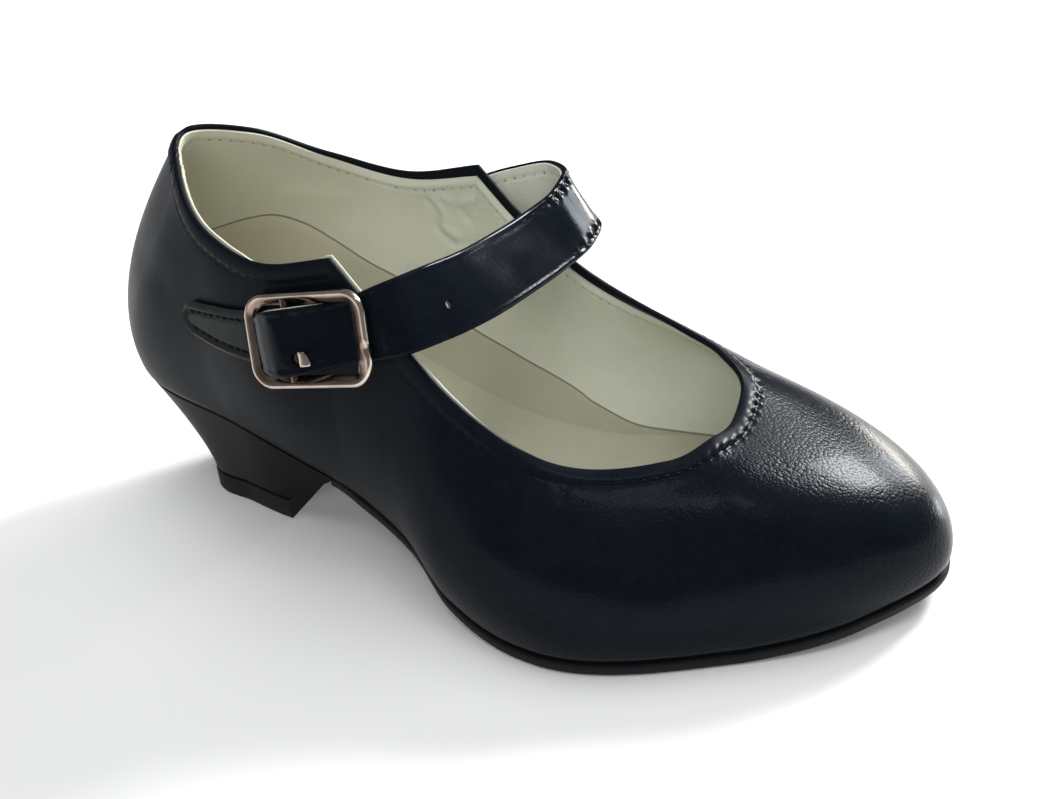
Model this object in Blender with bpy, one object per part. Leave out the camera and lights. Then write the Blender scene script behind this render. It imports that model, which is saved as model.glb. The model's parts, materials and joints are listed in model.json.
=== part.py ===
"""Flamenco shoe for the right foot, built as the separate pieces of a real one.

The toe points along +X, the inner side of the foot lies on +Y, and the shoe stands on Z = 0.
Sizes are millimetres, or shares of the driving dimensions, and MM turns them into metres.
"""

import math
from collections import namedtuple
from functools import lru_cache

import bmesh
import bpy
import numpy as np

MM = 0.001

# Driving dimensions
LENGTH = 173.0          # over the upper, from heel to toe
BALL_WIDTH = 70.5       # feather line, outermost to innermost point of the ball
COLLAR_HEIGHT = 76.5    # topline at the back of the heel, above the floor
SEAT_HEIGHT = 27.3      # feather line at the back of the heel, above the floor
WALL = 1.8              # leather and lining of the upper
SOLE_THICKNESS = 2.4
LIFT_HEIGHT = 5.0       # top piece under the heel
INSOLE_THICKNESS = 1.8
STRAP_THICKNESS = 1.8
GAP = 0.3               # play between pieces that meet

# Topline fold
FOLD_WIDTH = 3.2
FOLD_PROUD = 0.35
FOLD_RAMP = 0.6
RIM_ROUND = 0.7

# Sole and heel
TREAD = SOLE_THICKNESS + GAP    # feather line above the floor where the tread is flat
SOLE_LEDGE = 0.2                # sole edge beyond the feather line
SOLE_BEVEL = 0.7
HEEL_INSET = 0.5                # heel block inside the feather line
HEEL_FOOT_BACK = 16.5           # back of the heel's foot, from the back of the shoe
HEEL_FOOT_LENGTH_SHARE = 0.48   # heel's foot against its seat
HEEL_FOOT_WIDTH_SHARE = 0.86
HEEL_FLARE = 1.4                # above 1 the back runs down straighter near the floor
LIFT_PROUD = 0.2

# Insole
INSOLE_CURL_HEEL = 5.0          # how far its edge climbs the wall
INSOLE_CURL_TOE = 1.5
INSOLE_CURL_FADE = 1.6          # how soon the climb falls to the toe's
INSOLE_CORNER = 3.5             # from the wall to the flat floor
INSOLE_BEND = 0.6               # middle of the bend between them, in from the wall and up
INSOLE_BEND_RISE = 0.5

# Buckle, on the lateral quarter
BUCKLE_ALONG = 64.8             # place of its middle on the wall
BUCKLE_RISE = 53.3
BUCKLE_PITCH = math.radians(12.0)
BUCKLE_LEAN = math.radians(15.5)     # its upper edge leans in towards the foot
BUCKLE_LENGTH = 25.1
BUCKLE_HEIGHT = 16.9
BUCKLE_CORNER = 4.2
WIRE_WIDTH = 2.2
WIRE_THICKNESS = 1.7
FRAME_STAND_OFF = 4.35          # frame's middle line above the wall
FRAME_TILT = 0.100              # rise of the frame for each millimetre forward
BAR_PLACE = -3.9                # centre bar, from the buckle's middle
BAR_DIAMETER = 1.6
BAR_STAND_OFF = 3.85
TAB_THICKNESS = 0.9
WRAP_PLAY = 0.25
WRAP_HALF_WIDTH = 5.9           # of the tab where it is folded round the bar
PRONG_DIAMETER = 1.1
PRONG_PLAY = 0.15
PRONG_PLACE = -2.7              # along the bar, below the middle
PRONG_HOOK = (185.0, 75.0)      # degrees round the bar where the prong's hook starts and ends
HOLE_DIAMETER = 2.6
HOLE_AHEAD = 2.8                # prong's hole in the strap, ahead of the bar
HOLE_REACH = 10.0
SLIT_LENGTH = 5.4
SLIT_WIDTH = 2.0
SLIT_DEEP = 0.9                 # slit in the tab, under and over the bar's axis
SLIT_HIGH = 3.0
WRAP_TURN = (-90.0, 150.0)      # degrees round the bar that the tab covers

# Feather line from the side: share of LENGTH, share of the seat's height above the tread level
Profile = namedtuple("Profile", "name along rise")
PROFILE = [
    Profile("back", 0.000, 1.000),
    Profile("seat back", 0.058, 0.963),
    Profile("seat middle", 0.127, 0.878),
    Profile("seat front", 0.231, 0.711),
    Profile("breast", 0.324, 0.533),
    Profile("shank", 0.416, 0.305),
    Profile("arch", 0.509, 0.094),
    Profile("tread back", 0.580, 0.008),
    Profile("ball", 0.624, 0.000),
    Profile("tread front", 0.821, 0.000),
    Profile("toe bend", 0.908, 0.070),
    Profile("toe", 1.000, 0.200),
]

# Wall of the upper, one row for each line from the feather edge to the topline. The rows go round
# from the heel by the lateral side to the toe and back by the medial side. along and across are
# shares of LENGTH and BALL_WIDTH, rim_rise of COLLAR_HEIGHT, and the handles that bend the line
# are millimetres out from the feather line and up, or out from the topline and down.
Station = namedtuple(
    "Station",
    "name along across low_out low_up high_out high_down rim_along rim_across rim_rise",
)
STATIONS = [
    Station("heel_back", 0.009, 0.000, 4.0, 19.0, 7.0, 10.0, 0.124, 0.000, 1.000),
    Station("heel_corner_l", 0.061, -0.184, 5.5, 17.0, 6.0, 14.0, 0.165, -0.170, 0.967),
    Station("heel_side_l", 0.199, -0.248, 6.0, 16.0, 5.0, 16.0, 0.240, -0.319, 0.882),
    Station("quarter_l", 0.289, -0.277, 7.0, 16.0, 4.0, 16.0, 0.315, -0.369, 0.856),
    Station("corner_l", 0.370, -0.298, 7.0, 15.0, 3.0, 16.0, 0.393, -0.355, 0.889),
    Station("strap_l", 0.439, -0.355, 7.0, 14.0, 3.0, 12.0, 0.445, -0.362, 0.752),
    Station("waist_l", 0.514, -0.482, 6.0, 13.0, 4.0, 8.0, 0.514, -0.376, 0.595),
    Station("ball_l", 0.630, -0.560, 5.0, 13.0, 9.0, 4.0, 0.604, -0.362, 0.464),
    Station("toe_side_l", 0.815, -0.383, 4.0, 14.0, 12.0, 3.0, 0.720, -0.220, 0.425),
    Station("toe_corner_l", 0.925, -0.191, 3.5, 15.5, 18.0, 3.0, 0.749, -0.106, 0.431),
    Station("toe_tip", 0.991, 0.050, 3.0, 15.5, 22.0, 4.5, 0.760, 0.014, 0.425),
    Station("toe_corner_m", 0.971, 0.213, 3.0, 14.5, 18.0, 5.0, 0.754, 0.135, 0.438),
    Station("toe_side_m", 0.867, 0.376, 4.0, 13.5, 12.0, 5.0, 0.718, 0.246, 0.458),
    Station("ball_m", 0.711, 0.440, 5.0, 13.0, 9.0, 4.0, 0.656, 0.333, 0.471),
    Station("waist_m", 0.543, 0.333, 6.0, 14.0, 4.0, 8.0, 0.532, 0.369, 0.588),
    Station("strap_m", 0.451, 0.270, 7.0, 14.0, 3.0, 12.0, 0.468, 0.348, 0.719),
    Station("corner_m", 0.370, 0.252, 7.0, 15.0, 3.0, 16.0, 0.410, 0.376, 0.837),
    Station("quarter_m", 0.289, 0.255, 7.0, 16.0, 4.0, 16.0, 0.324, 0.355, 0.804),
    Station("heel_side_m", 0.197, 0.262, 6.0, 16.0, 5.0, 16.0, 0.231, 0.312, 0.850),
    Station("heel_corner_m", 0.081, 0.184, 5.0, 17.0, 6.0, 14.0, 0.168, 0.156, 0.961),
]
CORNERS = ("corner_l", "corner_m")
BREAST_INDEX = 3.52     # place of the sole's back edge in the rows above
HEEL_BREAST_INDEX = 3.49        # heel's front, a little behind it

# Strap from its tip in the buckle to its sewn end. A buckle row counts along, across (up) and rise
# (out) from the buckle's middle. A free row gives a place in the shoe, and lean tips the strap's
# width forward from upright. A wall row lies on the medial wall at along and rise, and across is the
# distance from the wall to the strap's middle.
StrapRow = namedtuple("StrapRow", "name kind along across rise lean width")
STRAP_ROWS = [
    StrapRow("tip", "buckle", -9.2, -0.3, 4.1, None, 10.4),
    StrapRow("fall", "buckle", -7.1, -0.2, 5.65, None, 11.4),
    StrapRow("over the bar", "buckle", -3.7, 0.0, 7.15, None, 11.8),
    StrapRow("past the bar", "buckle", -0.3, 0.2, 6.2, None, 11.6),
    StrapRow("window", "buckle", 4.5, 0.5, 3.7, None, 11.3),
    StrapRow("under the frame", "buckle", 11.0, 1.5, 3.2, None, 11.9),
    StrapRow("quarter's edge", "buckle", 15.8, 2.4, 3.5, None, 12.8),
    StrapRow("lateral bend", "free", 84.2, -20.0, 59.2, 32.0, 13.4),
    StrapRow("lateral span", "free", 87.0, -10.0, 58.0, 38.0, 13.4),
    StrapRow("middle", "free", 88.6, 2.0, 56.6, 42.0, 13.4),
    StrapRow("medial span", "free", 90.2, 14.0, 55.8, 42.0, 13.4),
    StrapRow("medial bend", "free", 91.4, 25.0, 56.0, 38.0, 13.4),
    StrapRow("turn", "free", 89.6, 32.6, 56.4, 34.0, 13.4),
    StrapRow("turned", "free", 84.0, 35.6, 55.8, 30.0, 13.4),
    StrapRow("return", "free", 76.5, 33.6, 54.4, 24.0, 13.4),
    StrapRow("sewn line", "wall", 68.5, 1.5, 53.0, None, 13.4),
    StrapRow("sewn end", "wall", 57.5, 1.4, 50.2, None, 13.4),
]

# Tab that holds the buckle, from its pointed end on the wall: place on the wall and half width
TabRow = namedtuple("TabRow", "name along rise half_width")
TAB_ROWS = [
    TabRow("point", 34.0, 50.3, 2.2),
    TabRow("shoulder", 35.3, 50.4, 3.5),
    TabRow("middle", 42.0, 50.6, 4.5),
    TabRow("buckle edge", 50.0, 51.2, 5.2),
    TabRow("under the strap", 56.0, 52.2, 5.2),
]

# Prong from its hook on: along from the bar, and off the wall
PRONG_ROWS = [(1.0, 5.35), (1.8, 5.4), (2.5, 6.0), (2.85, 7.2), (3.6, 8.0), (4.8, 7.8), (6.0, 7.1)]

# How finely each form is cut
SPAN_STEPS = 5
WALL_ROWS = 10
INNER_ROWS = 8
RUNGS_PER_SPAN = 4
HEEL_LEVELS = 7
STRAP_STEPS = 64
WRAP_STEPS = 13
HOOK_STEPS = 8
ROUND_SIDES = 10        # sides of the buckle's wire and prong
FINE_SEARCH = 1e-4      # how closely a place on the wall is found, in station rows
SEARCH_GRID = 31
SEARCH_ZOOM = 8.0
RUN_STEPS = 41          # steps up one line of the wall when distances are measured on it
SHARE_STEP = 5e-4       # steps that slopes of the wall are taken over
RISE_STEP = 5e-3
SHARP_ANGLE = math.radians(40.0)
SKEW = (0.31, 0.22, 0.93)       # a direction that no rod runs along
TIP_INDEX = 0.06        # first and last rung stay this far from the heel's back and the toe's tip

LEATHER = ("black_leather", (0.012, 0.013, 0.016), 0.42, 0.0)
SOLE_RUBBER = ("black_sole", (0.010, 0.010, 0.011), 0.55, 0.0)
HEEL_FINISH = ("heel_finish", (0.016, 0.017, 0.018), 0.45, 0.0)
SOCK = ("cream_sock", (0.36, 0.33, 0.25), 0.85, 0.0)
NICKEL = ("warm_nickel", (0.62, 0.55, 0.49), 0.25, 1.0)


# Curves through the tables

def smooth_curve(knots, values, at):
    """Cubic curve through one row of values for each knot, read at the places in at."""
    step = np.diff(knots)[:, None]
    chord = np.diff(values, axis=0) / step
    inner = (chord[:-1] * step[1:] + chord[1:] * step[:-1]) / (step[:-1] + step[1:])
    slope = np.vstack([chord[:1], inner, chord[-1:]])
    left = np.clip(np.searchsorted(knots, at, side="right") - 1, 0, len(knots) - 2)
    width = step[left]
    t = (np.asarray(at) - knots[left])[:, None] / width
    start = values[left] * (1 + 2 * t) * (1 - t) ** 2 + slope[left] * width * t * (1 - t) ** 2
    end = values[left + 1] * t ** 2 * (3 - 2 * t) + slope[left + 1] * width * t ** 2 * (t - 1)
    return start + end


def unit(vectors):
    return vectors / np.linalg.norm(vectors, axis=-1, keepdims=True)


PROFILE_PLACES = np.array([row.along * LENGTH for row in PROFILE])
PROFILE_RISES = np.array([[row.rise * (SEAT_HEIGHT - TREAD)] for row in PROFILE])
FEATHER = np.array([(row.along * LENGTH, row.across * BALL_WIDTH) for row in STATIONS])
HANDLES = np.array([(row.low_out, row.low_up, row.high_out, row.high_down) for row in STATIONS])
RIM = np.array([
    (row.rim_along * LENGTH, row.rim_across * BALL_WIDTH, row.rim_rise * COLLAR_HEIGHT)
    for row in STATIONS
])
COUNT = len(STATIONS)
TOE_INDEX = COUNT // 2
LEGS = np.linalg.norm(np.roll(FEATHER, -1, axis=0) - FEATHER, axis=1)
KNOTS = np.concatenate([[0.0], np.cumsum(LEGS)]) / LEGS.sum()
FIRST_CORNER, LAST_CORNER = [
    i for i, row in enumerate(STATIONS) if row.name in CORNERS
]


def profile(x):
    """Height of the feather line above the floor."""
    return TREAD + np.maximum(smooth_curve(PROFILE_PLACES, PROFILE_RISES, x)[:, 0], 0.0)


def share_at(index):
    """Share of the loop at a place in the station rows."""
    return np.interp(index, np.arange(COUNT + 1), KNOTS)


def around(values, share):
    """Closed curve through one row for each station."""
    rows = np.arange(-3, COUNT + 4)
    knots = KNOTS[rows % COUNT] + rows // COUNT
    return smooth_curve(knots, values[rows % COUNT], np.mod(share, 1.0))


def rim(share):
    """Topline, with a sharp corner at the tab of each quarter."""
    share = np.mod(share, 1.0)
    front_rows = np.arange(FIRST_CORNER, LAST_CORNER + 1)
    back_rows = np.arange(LAST_CORNER - COUNT, FIRST_CORNER + 1)
    back_knots = KNOTS[back_rows % COUNT] + back_rows // COUNT
    back_share = np.where(share > KNOTS[LAST_CORNER], share - 1.0, share)
    front = smooth_curve(KNOTS[front_rows], RIM[front_rows], share)
    back = smooth_curve(back_knots, RIM[back_rows % COUNT], back_share)
    in_front = (share >= KNOTS[FIRST_CORNER]) & (share <= KNOTS[LAST_CORNER])
    return np.where(in_front[:, None], front, back)


def outward(share):
    """Level direction away from the shoe, square to the feather line."""
    ahead = around(FEATHER, share + SHARE_STEP) - around(FEATHER, share - SHARE_STEP)
    return unit(np.column_stack([ahead[:, 1], -ahead[:, 0], np.zeros(len(ahead))]))


def feather(share, inset=0.0):
    """Points of the feather line, moved inwards by inset."""
    plan = around(FEATHER, share)
    points = np.column_stack([plan, np.zeros(len(plan))]) - outward(share) * inset
    points[:, 2] = profile(points[:, 0])
    return points


def wall(share, rise):
    """Outer face of the upper: share goes round the shoe, rise from feather line to topline."""
    low = feather(share)
    high = rim(share)
    out = outward(share)
    up = np.array([0.0, 0.0, 1.0])
    handle = around(HANDLES, share)
    low_bend = low + out * handle[:, 0:1] + up * handle[:, 1:2]
    high_bend = high + out * handle[:, 2:3] - up * handle[:, 3:4]
    t = np.asarray(rise)[:, None]
    return (low * (1 - t) ** 3 + low_bend * 3 * t * (1 - t) ** 2
            + high_bend * 3 * t ** 2 * (1 - t) + high * t ** 3)


def wall_normal(share, rise):
    rise = np.asarray(rise)
    above, below = np.minimum(rise + RISE_STEP, 1.0), np.maximum(rise - RISE_STEP, 0.0)
    across = wall(share + SHARE_STEP, rise) - wall(share - SHARE_STEP, rise)
    return unit(np.cross(across, wall(share, above) - wall(share, below)))


def wall_run(share):
    """Rises up one wall line, with the distance run from the feather line to each."""
    steps = np.linspace(0.0, 1.0, RUN_STEPS)
    line = wall(np.full(len(steps), share), steps)
    legs = np.linalg.norm(np.diff(line, axis=0), axis=1)
    return steps, np.concatenate([[0.0], np.cumsum(legs)])


def rise_below_rim(share, distance):
    """Rise of the place that lies a given distance under the topline, measured on the wall."""
    found = []
    for one in share:
        steps, run = wall_run(one)
        found.append(np.interp(run[-1] - distance, run, steps))
    return np.array(found)


def rise_above_feather(share, distance):
    """Rise of the place that lies a given distance over the feather line, one for each share."""
    found = []
    for one, reach in zip(share, distance):
        steps, run = wall_run(one)
        found.append(np.interp(reach, run, steps))
    return np.array(found)


@lru_cache(maxsize=None)
def on_wall(side, along, height, off):
    """Point and normal off a side wall, found from its place along the shoe and its height."""
    index, index_reach = TOE_INDEX / 2, TOE_INDEX / 2 - 1.0
    rise, rise_reach = 0.5, 0.5
    while index_reach > FINE_SEARCH:
        indices = index + np.linspace(-index_reach, index_reach, SEARCH_GRID)
        rises = np.clip(rise + np.linspace(-rise_reach, rise_reach, SEARCH_GRID), 0.0, 1.0)
        grid_index, grid_rise = [part.ravel() for part in np.meshgrid(indices, rises)]
        share = share_at(grid_index if side < 0 else COUNT - grid_index)
        points = wall(share, grid_rise)
        best = np.argmin((points[:, 0] - along) ** 2 + (points[:, 2] - height) ** 2)
        index, rise = grid_index[best], grid_rise[best]
        index_reach /= SEARCH_ZOOM
        rise_reach /= SEARCH_ZOOM
    normal = wall_normal(share[best:best + 1], grid_rise[best:best + 1])[0]
    return points[best] + normal * off, normal


# Solids from rings of points

def sweep_faces(ring_count, ring_size, closed):
    """Quads between neighbouring rings, and ladders of quads over both ends when not closed."""
    faces = []
    for i in range(ring_count if closed else ring_count - 1):
        here = i * ring_size
        after = (i + 1) % ring_count * ring_size
        for j in range(ring_size):
            k = (j + 1) % ring_size
            faces.append((here + j, after + j, after + k, here + k))
    if not closed:
        for first in (0, (ring_count - 1) * ring_size):
            for j in range(ring_size // 2 - 1):
                far = ring_size - 1 - j
                faces.append((first + j, first + j + 1, first + far - 1, first + far))
    return faces


def principled(finish):
    name, colour, roughness, metallic = finish
    material = bpy.data.materials.get(name)
    if material is None:
        material = bpy.data.materials.new(name)
        material.use_nodes = True
        shader = material.node_tree.nodes["Principled BSDF"]
        shader.inputs["Base Color"].default_value = (*colour, 1.0)
        shader.inputs["Roughness"].default_value = roughness
        shader.inputs["Metallic"].default_value = metallic
        material.diffuse_color = (*colour, 1.0)
    return material


def make_piece(name, points, faces, finish):
    """Closed mesh object from points in millimetres, with its faces turned out."""
    mesh = bpy.data.meshes.new(name)
    mesh.from_pydata((np.asarray(points) * MM).tolist(), [], faces)
    shape = bmesh.new()
    shape.from_mesh(mesh)
    bmesh.ops.recalc_face_normals(shape, faces=shape.faces)
    bmesh.ops.triangulate(shape, faces=shape.faces)
    shape.to_mesh(mesh)
    shape.free()
    mesh.shade_smooth()
    mesh.set_sharp_from_angle(angle=SHARP_ANGLE)
    mesh.materials.append(principled(finish))
    piece = bpy.data.objects.new(name, mesh)
    bpy.context.scene.collection.objects.link(piece)
    return piece


def sweep_piece(name, rings, finish, closed=False):
    rings = np.asarray(rings)
    faces = sweep_faces(rings.shape[0], rings.shape[1], closed)
    return make_piece(name, rings.reshape(-1, 3), faces, finish)


def hide_cutter(cutter):
    cutter.hide_render = True
    cutter.display_type = "WIRE"


def boolean(piece, cutter, operation):
    hide_cutter(cutter)
    modifier = piece.modifiers.new(operation.lower(), "BOOLEAN")
    modifier.operation = operation
    modifier.object = cutter


def round_rod(name, start, end, diameter, finish, sides=16):
    """Straight rod between two points."""
    axis = unit(end - start)
    side = unit(np.cross(axis, SKEW))
    other = np.cross(axis, side)
    angles = (np.arange(sides) + 0.5) * 2 * math.pi / sides
    circle = np.cos(angles)[:, None] * side + np.sin(angles)[:, None] * other
    return sweep_piece(name, [start + circle * diameter / 2, end + circle * diameter / 2], finish)


# Upper

def make_upper():
    """Hollow wall with a rounded topline fold that stands a little proud."""
    share = share_at(np.arange(COUNT * SPAN_STEPS) / SPAN_STEPS)
    ramp_foot = rise_below_rim(share, FOLD_WIDTH + FOLD_RAMP)
    fold_foot = rise_below_rim(share, FOLD_WIDTH)
    fold_top = rise_below_rim(share, RIM_ROUND)
    rows = []
    for part in np.linspace(0.0, 1.0, WALL_ROWS):
        rows.append(wall(share, ramp_foot * part))
    for rise in (fold_foot, fold_top):
        rows.append(wall(share, rise) + wall_normal(share, rise) * FOLD_PROUD)
    top = np.ones(len(share))
    rows.append(wall(share, top) - wall_normal(share, top) * WALL / 3)
    for part in np.linspace(1.0, 0.0, INNER_ROWS)[:-1]:
        rise = fold_top * part
        rows.append(wall(share, rise) - wall_normal(share, rise) * WALL)
    foot = feather(share) - outward(share) * WALL
    rows.append(foot)
    return sweep_piece("upper", np.stack(rows, axis=1), LEATHER, closed=True)


# Sole and heel

HALF_STEPS = (0.2, 0.6, 1.0)


def rung_indices(first, last):
    count = int(math.ceil((last - first) * RUNGS_PER_SPAN)) + 1
    return np.linspace(first, last, count)


def rung(index, inset):
    """Feather line points of one rung, lateral and medial."""
    sides = share_at(np.array([index, COUNT - index]))
    return feather(sides, inset)


def across(pair, part):
    """Point on a rung: part runs from -1 at the lateral end to 1 at the medial end."""
    return pair[0] * (1 - part) / 2 + pair[1] * (1 + part) / 2


def rung_ring(levels):
    """Ring through level pairs, from the bottom's middle up the medial side and down the lateral.

    levels is a list of (pair, height) where height gives z from the points of a rung.
    """
    bottom, top = levels[0], levels[-1]
    half = []
    for part in HALF_STEPS:
        half.append((bottom, part))
    for level in levels[1:-1]:
        half.append((level, 1.0))
    for part in reversed(HALF_STEPS):
        half.append((top, part))
    ring = []
    for sign, rows in ((1, half), (-1, reversed(half))):
        for (pair, height), part in rows:
            point = across(pair, sign * part)
            point[2] = height(point)
            ring.append(point)
    return ring


def sole_top(point):
    return profile(point[:1])[0] - GAP


def sole_bottom(point):
    return profile(point[:1])[0] - TREAD


def sole_edge(point):
    return sole_bottom(point) + SOLE_BEVEL


def make_outsole():
    """Thin sole from the heel's breast to the toe, flat under the tread."""
    rings = []
    for index in rung_indices(BREAST_INDEX, TOE_INDEX - TIP_INDEX):
        full = rung(index, -SOLE_LEDGE)
        lower = rung(index, SOLE_BEVEL - SOLE_LEDGE)
        rings.append(rung_ring([(lower, sole_bottom), (full, sole_edge), (full, sole_top)]))
    return sweep_piece("outsole", rings, SOLE_RUBBER)


def heel_foot(pair):
    """Where the heel's foot stands under a rung of its seat."""
    back = feather(np.array([0.0]))[0]
    foot = pair.copy()
    foot[:, 0] = HEEL_FOOT_BACK + (pair[:, 0] - back[0]) * HEEL_FOOT_LENGTH_SHARE
    foot[:, 1] = pair[:, 1] * HEEL_FOOT_WIDTH_SHARE
    return foot


def level_at(height):
    return lambda point: height


def make_heel():
    """Block that runs down from the seat to a smaller foot, straighter near the floor."""
    rings = []
    for index in rung_indices(TIP_INDEX, HEEL_BREAST_INDEX):
        seat = rung(index, HEEL_INSET)
        foot = heel_foot(seat)
        flare = HEEL_FLARE + (1.0 - HEEL_FLARE) * (index / HEEL_BREAST_INDEX) ** 2
        levels = [(foot, level_at(LIFT_HEIGHT))]
        for step in np.linspace(0.0, 1.0, HEEL_LEVELS)[1:-1]:
            pair = foot + (seat - foot) * step ** flare
            edge = LIFT_HEIGHT + (sole_top(seat[0]) - LIFT_HEIGHT) * step
            levels.append((pair, level_at(edge)))
        levels.append((seat, sole_top))
        rings.append(rung_ring(levels))
    return sweep_piece("heel", rings, HEEL_FINISH)


def make_heel_lift():
    """Flat top piece under the heel block."""
    rings = []
    for index in rung_indices(TIP_INDEX, HEEL_BREAST_INDEX):
        foot = heel_foot(rung(index, HEEL_INSET - LIFT_PROUD))
        inner = heel_foot(rung(index, HEEL_INSET + LIFT_PROUD))
        rings.append(rung_ring([
            (inner, level_at(0.0)),
            (foot, level_at(SOLE_BEVEL / 2)),
            (foot, level_at(LIFT_HEIGHT - GAP)),
        ]))
    return sweep_piece("heel_lift", rings, SOLE_RUBBER)


# Insole

def make_insole():
    """Sock on the insole board, its edge curled up along the wall."""
    steps = np.arange(COUNT * RUNGS_PER_SPAN) / RUNGS_PER_SPAN
    share = share_at(steps)
    wall_side = WALL + GAP
    plan = feather(share)
    toward_toe = np.clip(plan[:, 0] / LENGTH * INSOLE_CURL_FADE, 0.0, 1.0)
    curl = INSOLE_CURL_HEEL + (INSOLE_CURL_TOE - INSOLE_CURL_HEEL) * toward_toe
    edge_rise = rise_above_feather(share, curl)
    corner = feather(share, wall_side + INSOLE_BEND)
    corner[:, 2] += INSOLE_BEND_RISE
    rows = [
        wall(share, edge_rise) - wall_normal(share, edge_rise) * wall_side,
        corner,
        feather(share, wall_side + INSOLE_CORNER),
    ]
    count = len(share)
    points = np.concatenate(rows)
    faces = []
    for row in range(len(rows) - 1):
        for i in range(count):
            k = (i + 1) % count
            low, high = (row + 1) * count, row * count
            faces.append((low + i, low + k, high + k, high + i))
    floor = (len(rows) - 1) * count
    half = count // 2
    ids = [[floor]]
    extra = []
    for i in range(1, half):
        lateral, medial = points[floor + i], points[floor + count - i]
        middle = (lateral + medial) / 2
        middle[2] = profile(middle[:1])[0]
        extra.append(middle)
        ids.append([floor + i, len(points) + len(extra) - 1, floor + count - i])
    ids.append([floor + half])
    points = np.concatenate([points, np.array(extra)])
    for here, after in zip(ids[:-1], ids[1:]):
        if len(here) == 1:
            faces += [(here[0], after[0], after[1]), (here[0], after[1], after[2])]
        elif len(after) == 1:
            faces += [(here[0], after[0], here[1]), (here[1], after[0], here[2])]
        else:
            faces += [(here[0], after[0], after[1], here[1]), (here[1], after[1], after[2], here[2])]
    piece = make_piece("insole", points, faces, SOCK)
    up = sum(face.normal.z * face.area for face in piece.data.polygons)
    thicken = piece.modifiers.new("thickness", "SOLIDIFY")
    thicken.thickness = INSOLE_THICKNESS * MM
    thicken.offset = 1.0 if up > 0 else -1.0
    thicken.use_even_offset = True
    return piece


# Strap

def strap_row_place(row):
    """Middle of the strap at a row, and the outward direction where the row has one."""
    if row.kind == "buckle":
        return buckle_place(row.along, row.across, row.rise), buckle_axes()[3]
    if row.kind == "wall":
        return on_wall(1, row.along, row.rise, row.across)
    return np.array([row.along, row.across, row.rise]), None


def strap_frames():
    """Middle line of the strap with its width direction, outward direction and width."""
    places = [strap_row_place(row) for row in STRAP_ROWS]
    centres = np.array([place for place, out in places])
    widths = np.array([[row.width] for row in STRAP_ROWS])
    runs = unit(np.gradient(centres, axis=0))
    leans = []
    for row, run, (place, out) in zip(STRAP_ROWS, runs, places):
        if out is None:
            angle = math.radians(row.lean)
            leans.append(np.array([math.sin(angle), 0.0, -math.cos(angle)]))
        else:
            leans.append(np.cross(run, out))
    knots = np.concatenate([[0.0], np.cumsum(np.linalg.norm(np.diff(centres, axis=0), axis=1))])
    at = np.linspace(0.0, knots[-1], STRAP_STEPS + 1)
    middle = smooth_curve(knots, centres, at)
    run = unit(np.gradient(middle, axis=0))
    lean = smooth_curve(knots, unit(np.array(leans)), at)
    lean = unit(lean - run * np.sum(lean * run, axis=1, keepdims=True))
    return middle, lean, np.cross(lean, run), smooth_curve(knots, widths, at)[:, 0]


def strap_ring(centre, lean, out, width, thickness):
    half, deep = width / 2, thickness / 2
    edge = half - deep
    section = [(-edge, -deep), (-edge / 3, -deep), (edge / 3, -deep), (edge, -deep), (half, 0.0)]
    section += [(-w, -d) for w, d in section]
    return [centre + lean * w + out * d for w, d in section]


def make_strap():
    """Instep strap from the buckle over the foot to its sewn end, with the prong's hole."""
    rings = [
        strap_ring(middle, lean, out, width, STRAP_THICKNESS)
        for middle, lean, out, width in zip(*strap_frames())
    ]
    strap = sweep_piece("strap", rings, LEATHER)
    here = buckle_place(BAR_PLACE + HOLE_AHEAD, PRONG_PLACE, 0.0)
    there = buckle_place(BAR_PLACE + HOLE_AHEAD, PRONG_PLACE, HOLE_REACH)
    boolean(strap, round_rod("prong_hole", here, there, HOLE_DIAMETER, LEATHER), "DIFFERENCE")
    return strap


# Buckle

@lru_cache(maxsize=None)
def buckle_axes():
    """Foot of the buckle's middle on the wall, and its directions along, up and out."""
    foot = on_wall(-1, BUCKLE_ALONG, BUCKLE_RISE, 0.0)[0]
    reach_along, reach_up = BUCKLE_LENGTH / 4, BUCKLE_HEIGHT / 4
    wall_out = unit(sum(
        on_wall(-1, BUCKLE_ALONG + along * reach_along, BUCKLE_RISE + up * reach_up, 0.0)[1]
        for along in (-1, 1) for up in (-1, 1)
    ))
    out = unit(wall_out + np.array([0.0, 0.0, math.tan(BUCKLE_LEAN)]))
    along = np.array([math.cos(BUCKLE_PITCH), 0.0, math.sin(BUCKLE_PITCH)])
    along = unit(along - out * np.dot(along, out))
    return foot, along, np.cross(out, along), out


def buckle_place(along, up, off):
    foot, along_axis, up_axis, out = buckle_axes()
    return foot + along_axis * along + up_axis * up + out * off


def rounded_rectangle(length, height, corner, corner_steps=6, side_steps=4):
    """Points and outward directions round a rectangle with round corners."""
    half_length, half_height = length / 2 - corner, height / 2 - corner
    middles = [(half_length, half_height), (-half_length, half_height),
               (-half_length, -half_height), (half_length, -half_height)]
    points, directions = [], []
    for quarter, (x, y) in enumerate(middles):
        for step in range(corner_steps + 1):
            angle = (quarter + step / corner_steps) * math.pi / 2
            direction = np.array([math.cos(angle), math.sin(angle)])
            points.append(np.array([x, y]) + direction * corner)
            directions.append(direction)
        following = np.array(middles[(quarter + 1) % 4]) + directions[-1] * corner
        for step in range(1, side_steps):
            points.append(points[-step] + (following - points[-step]) * step / side_steps)
            directions.append(directions[-1])
    return points, directions


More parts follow.
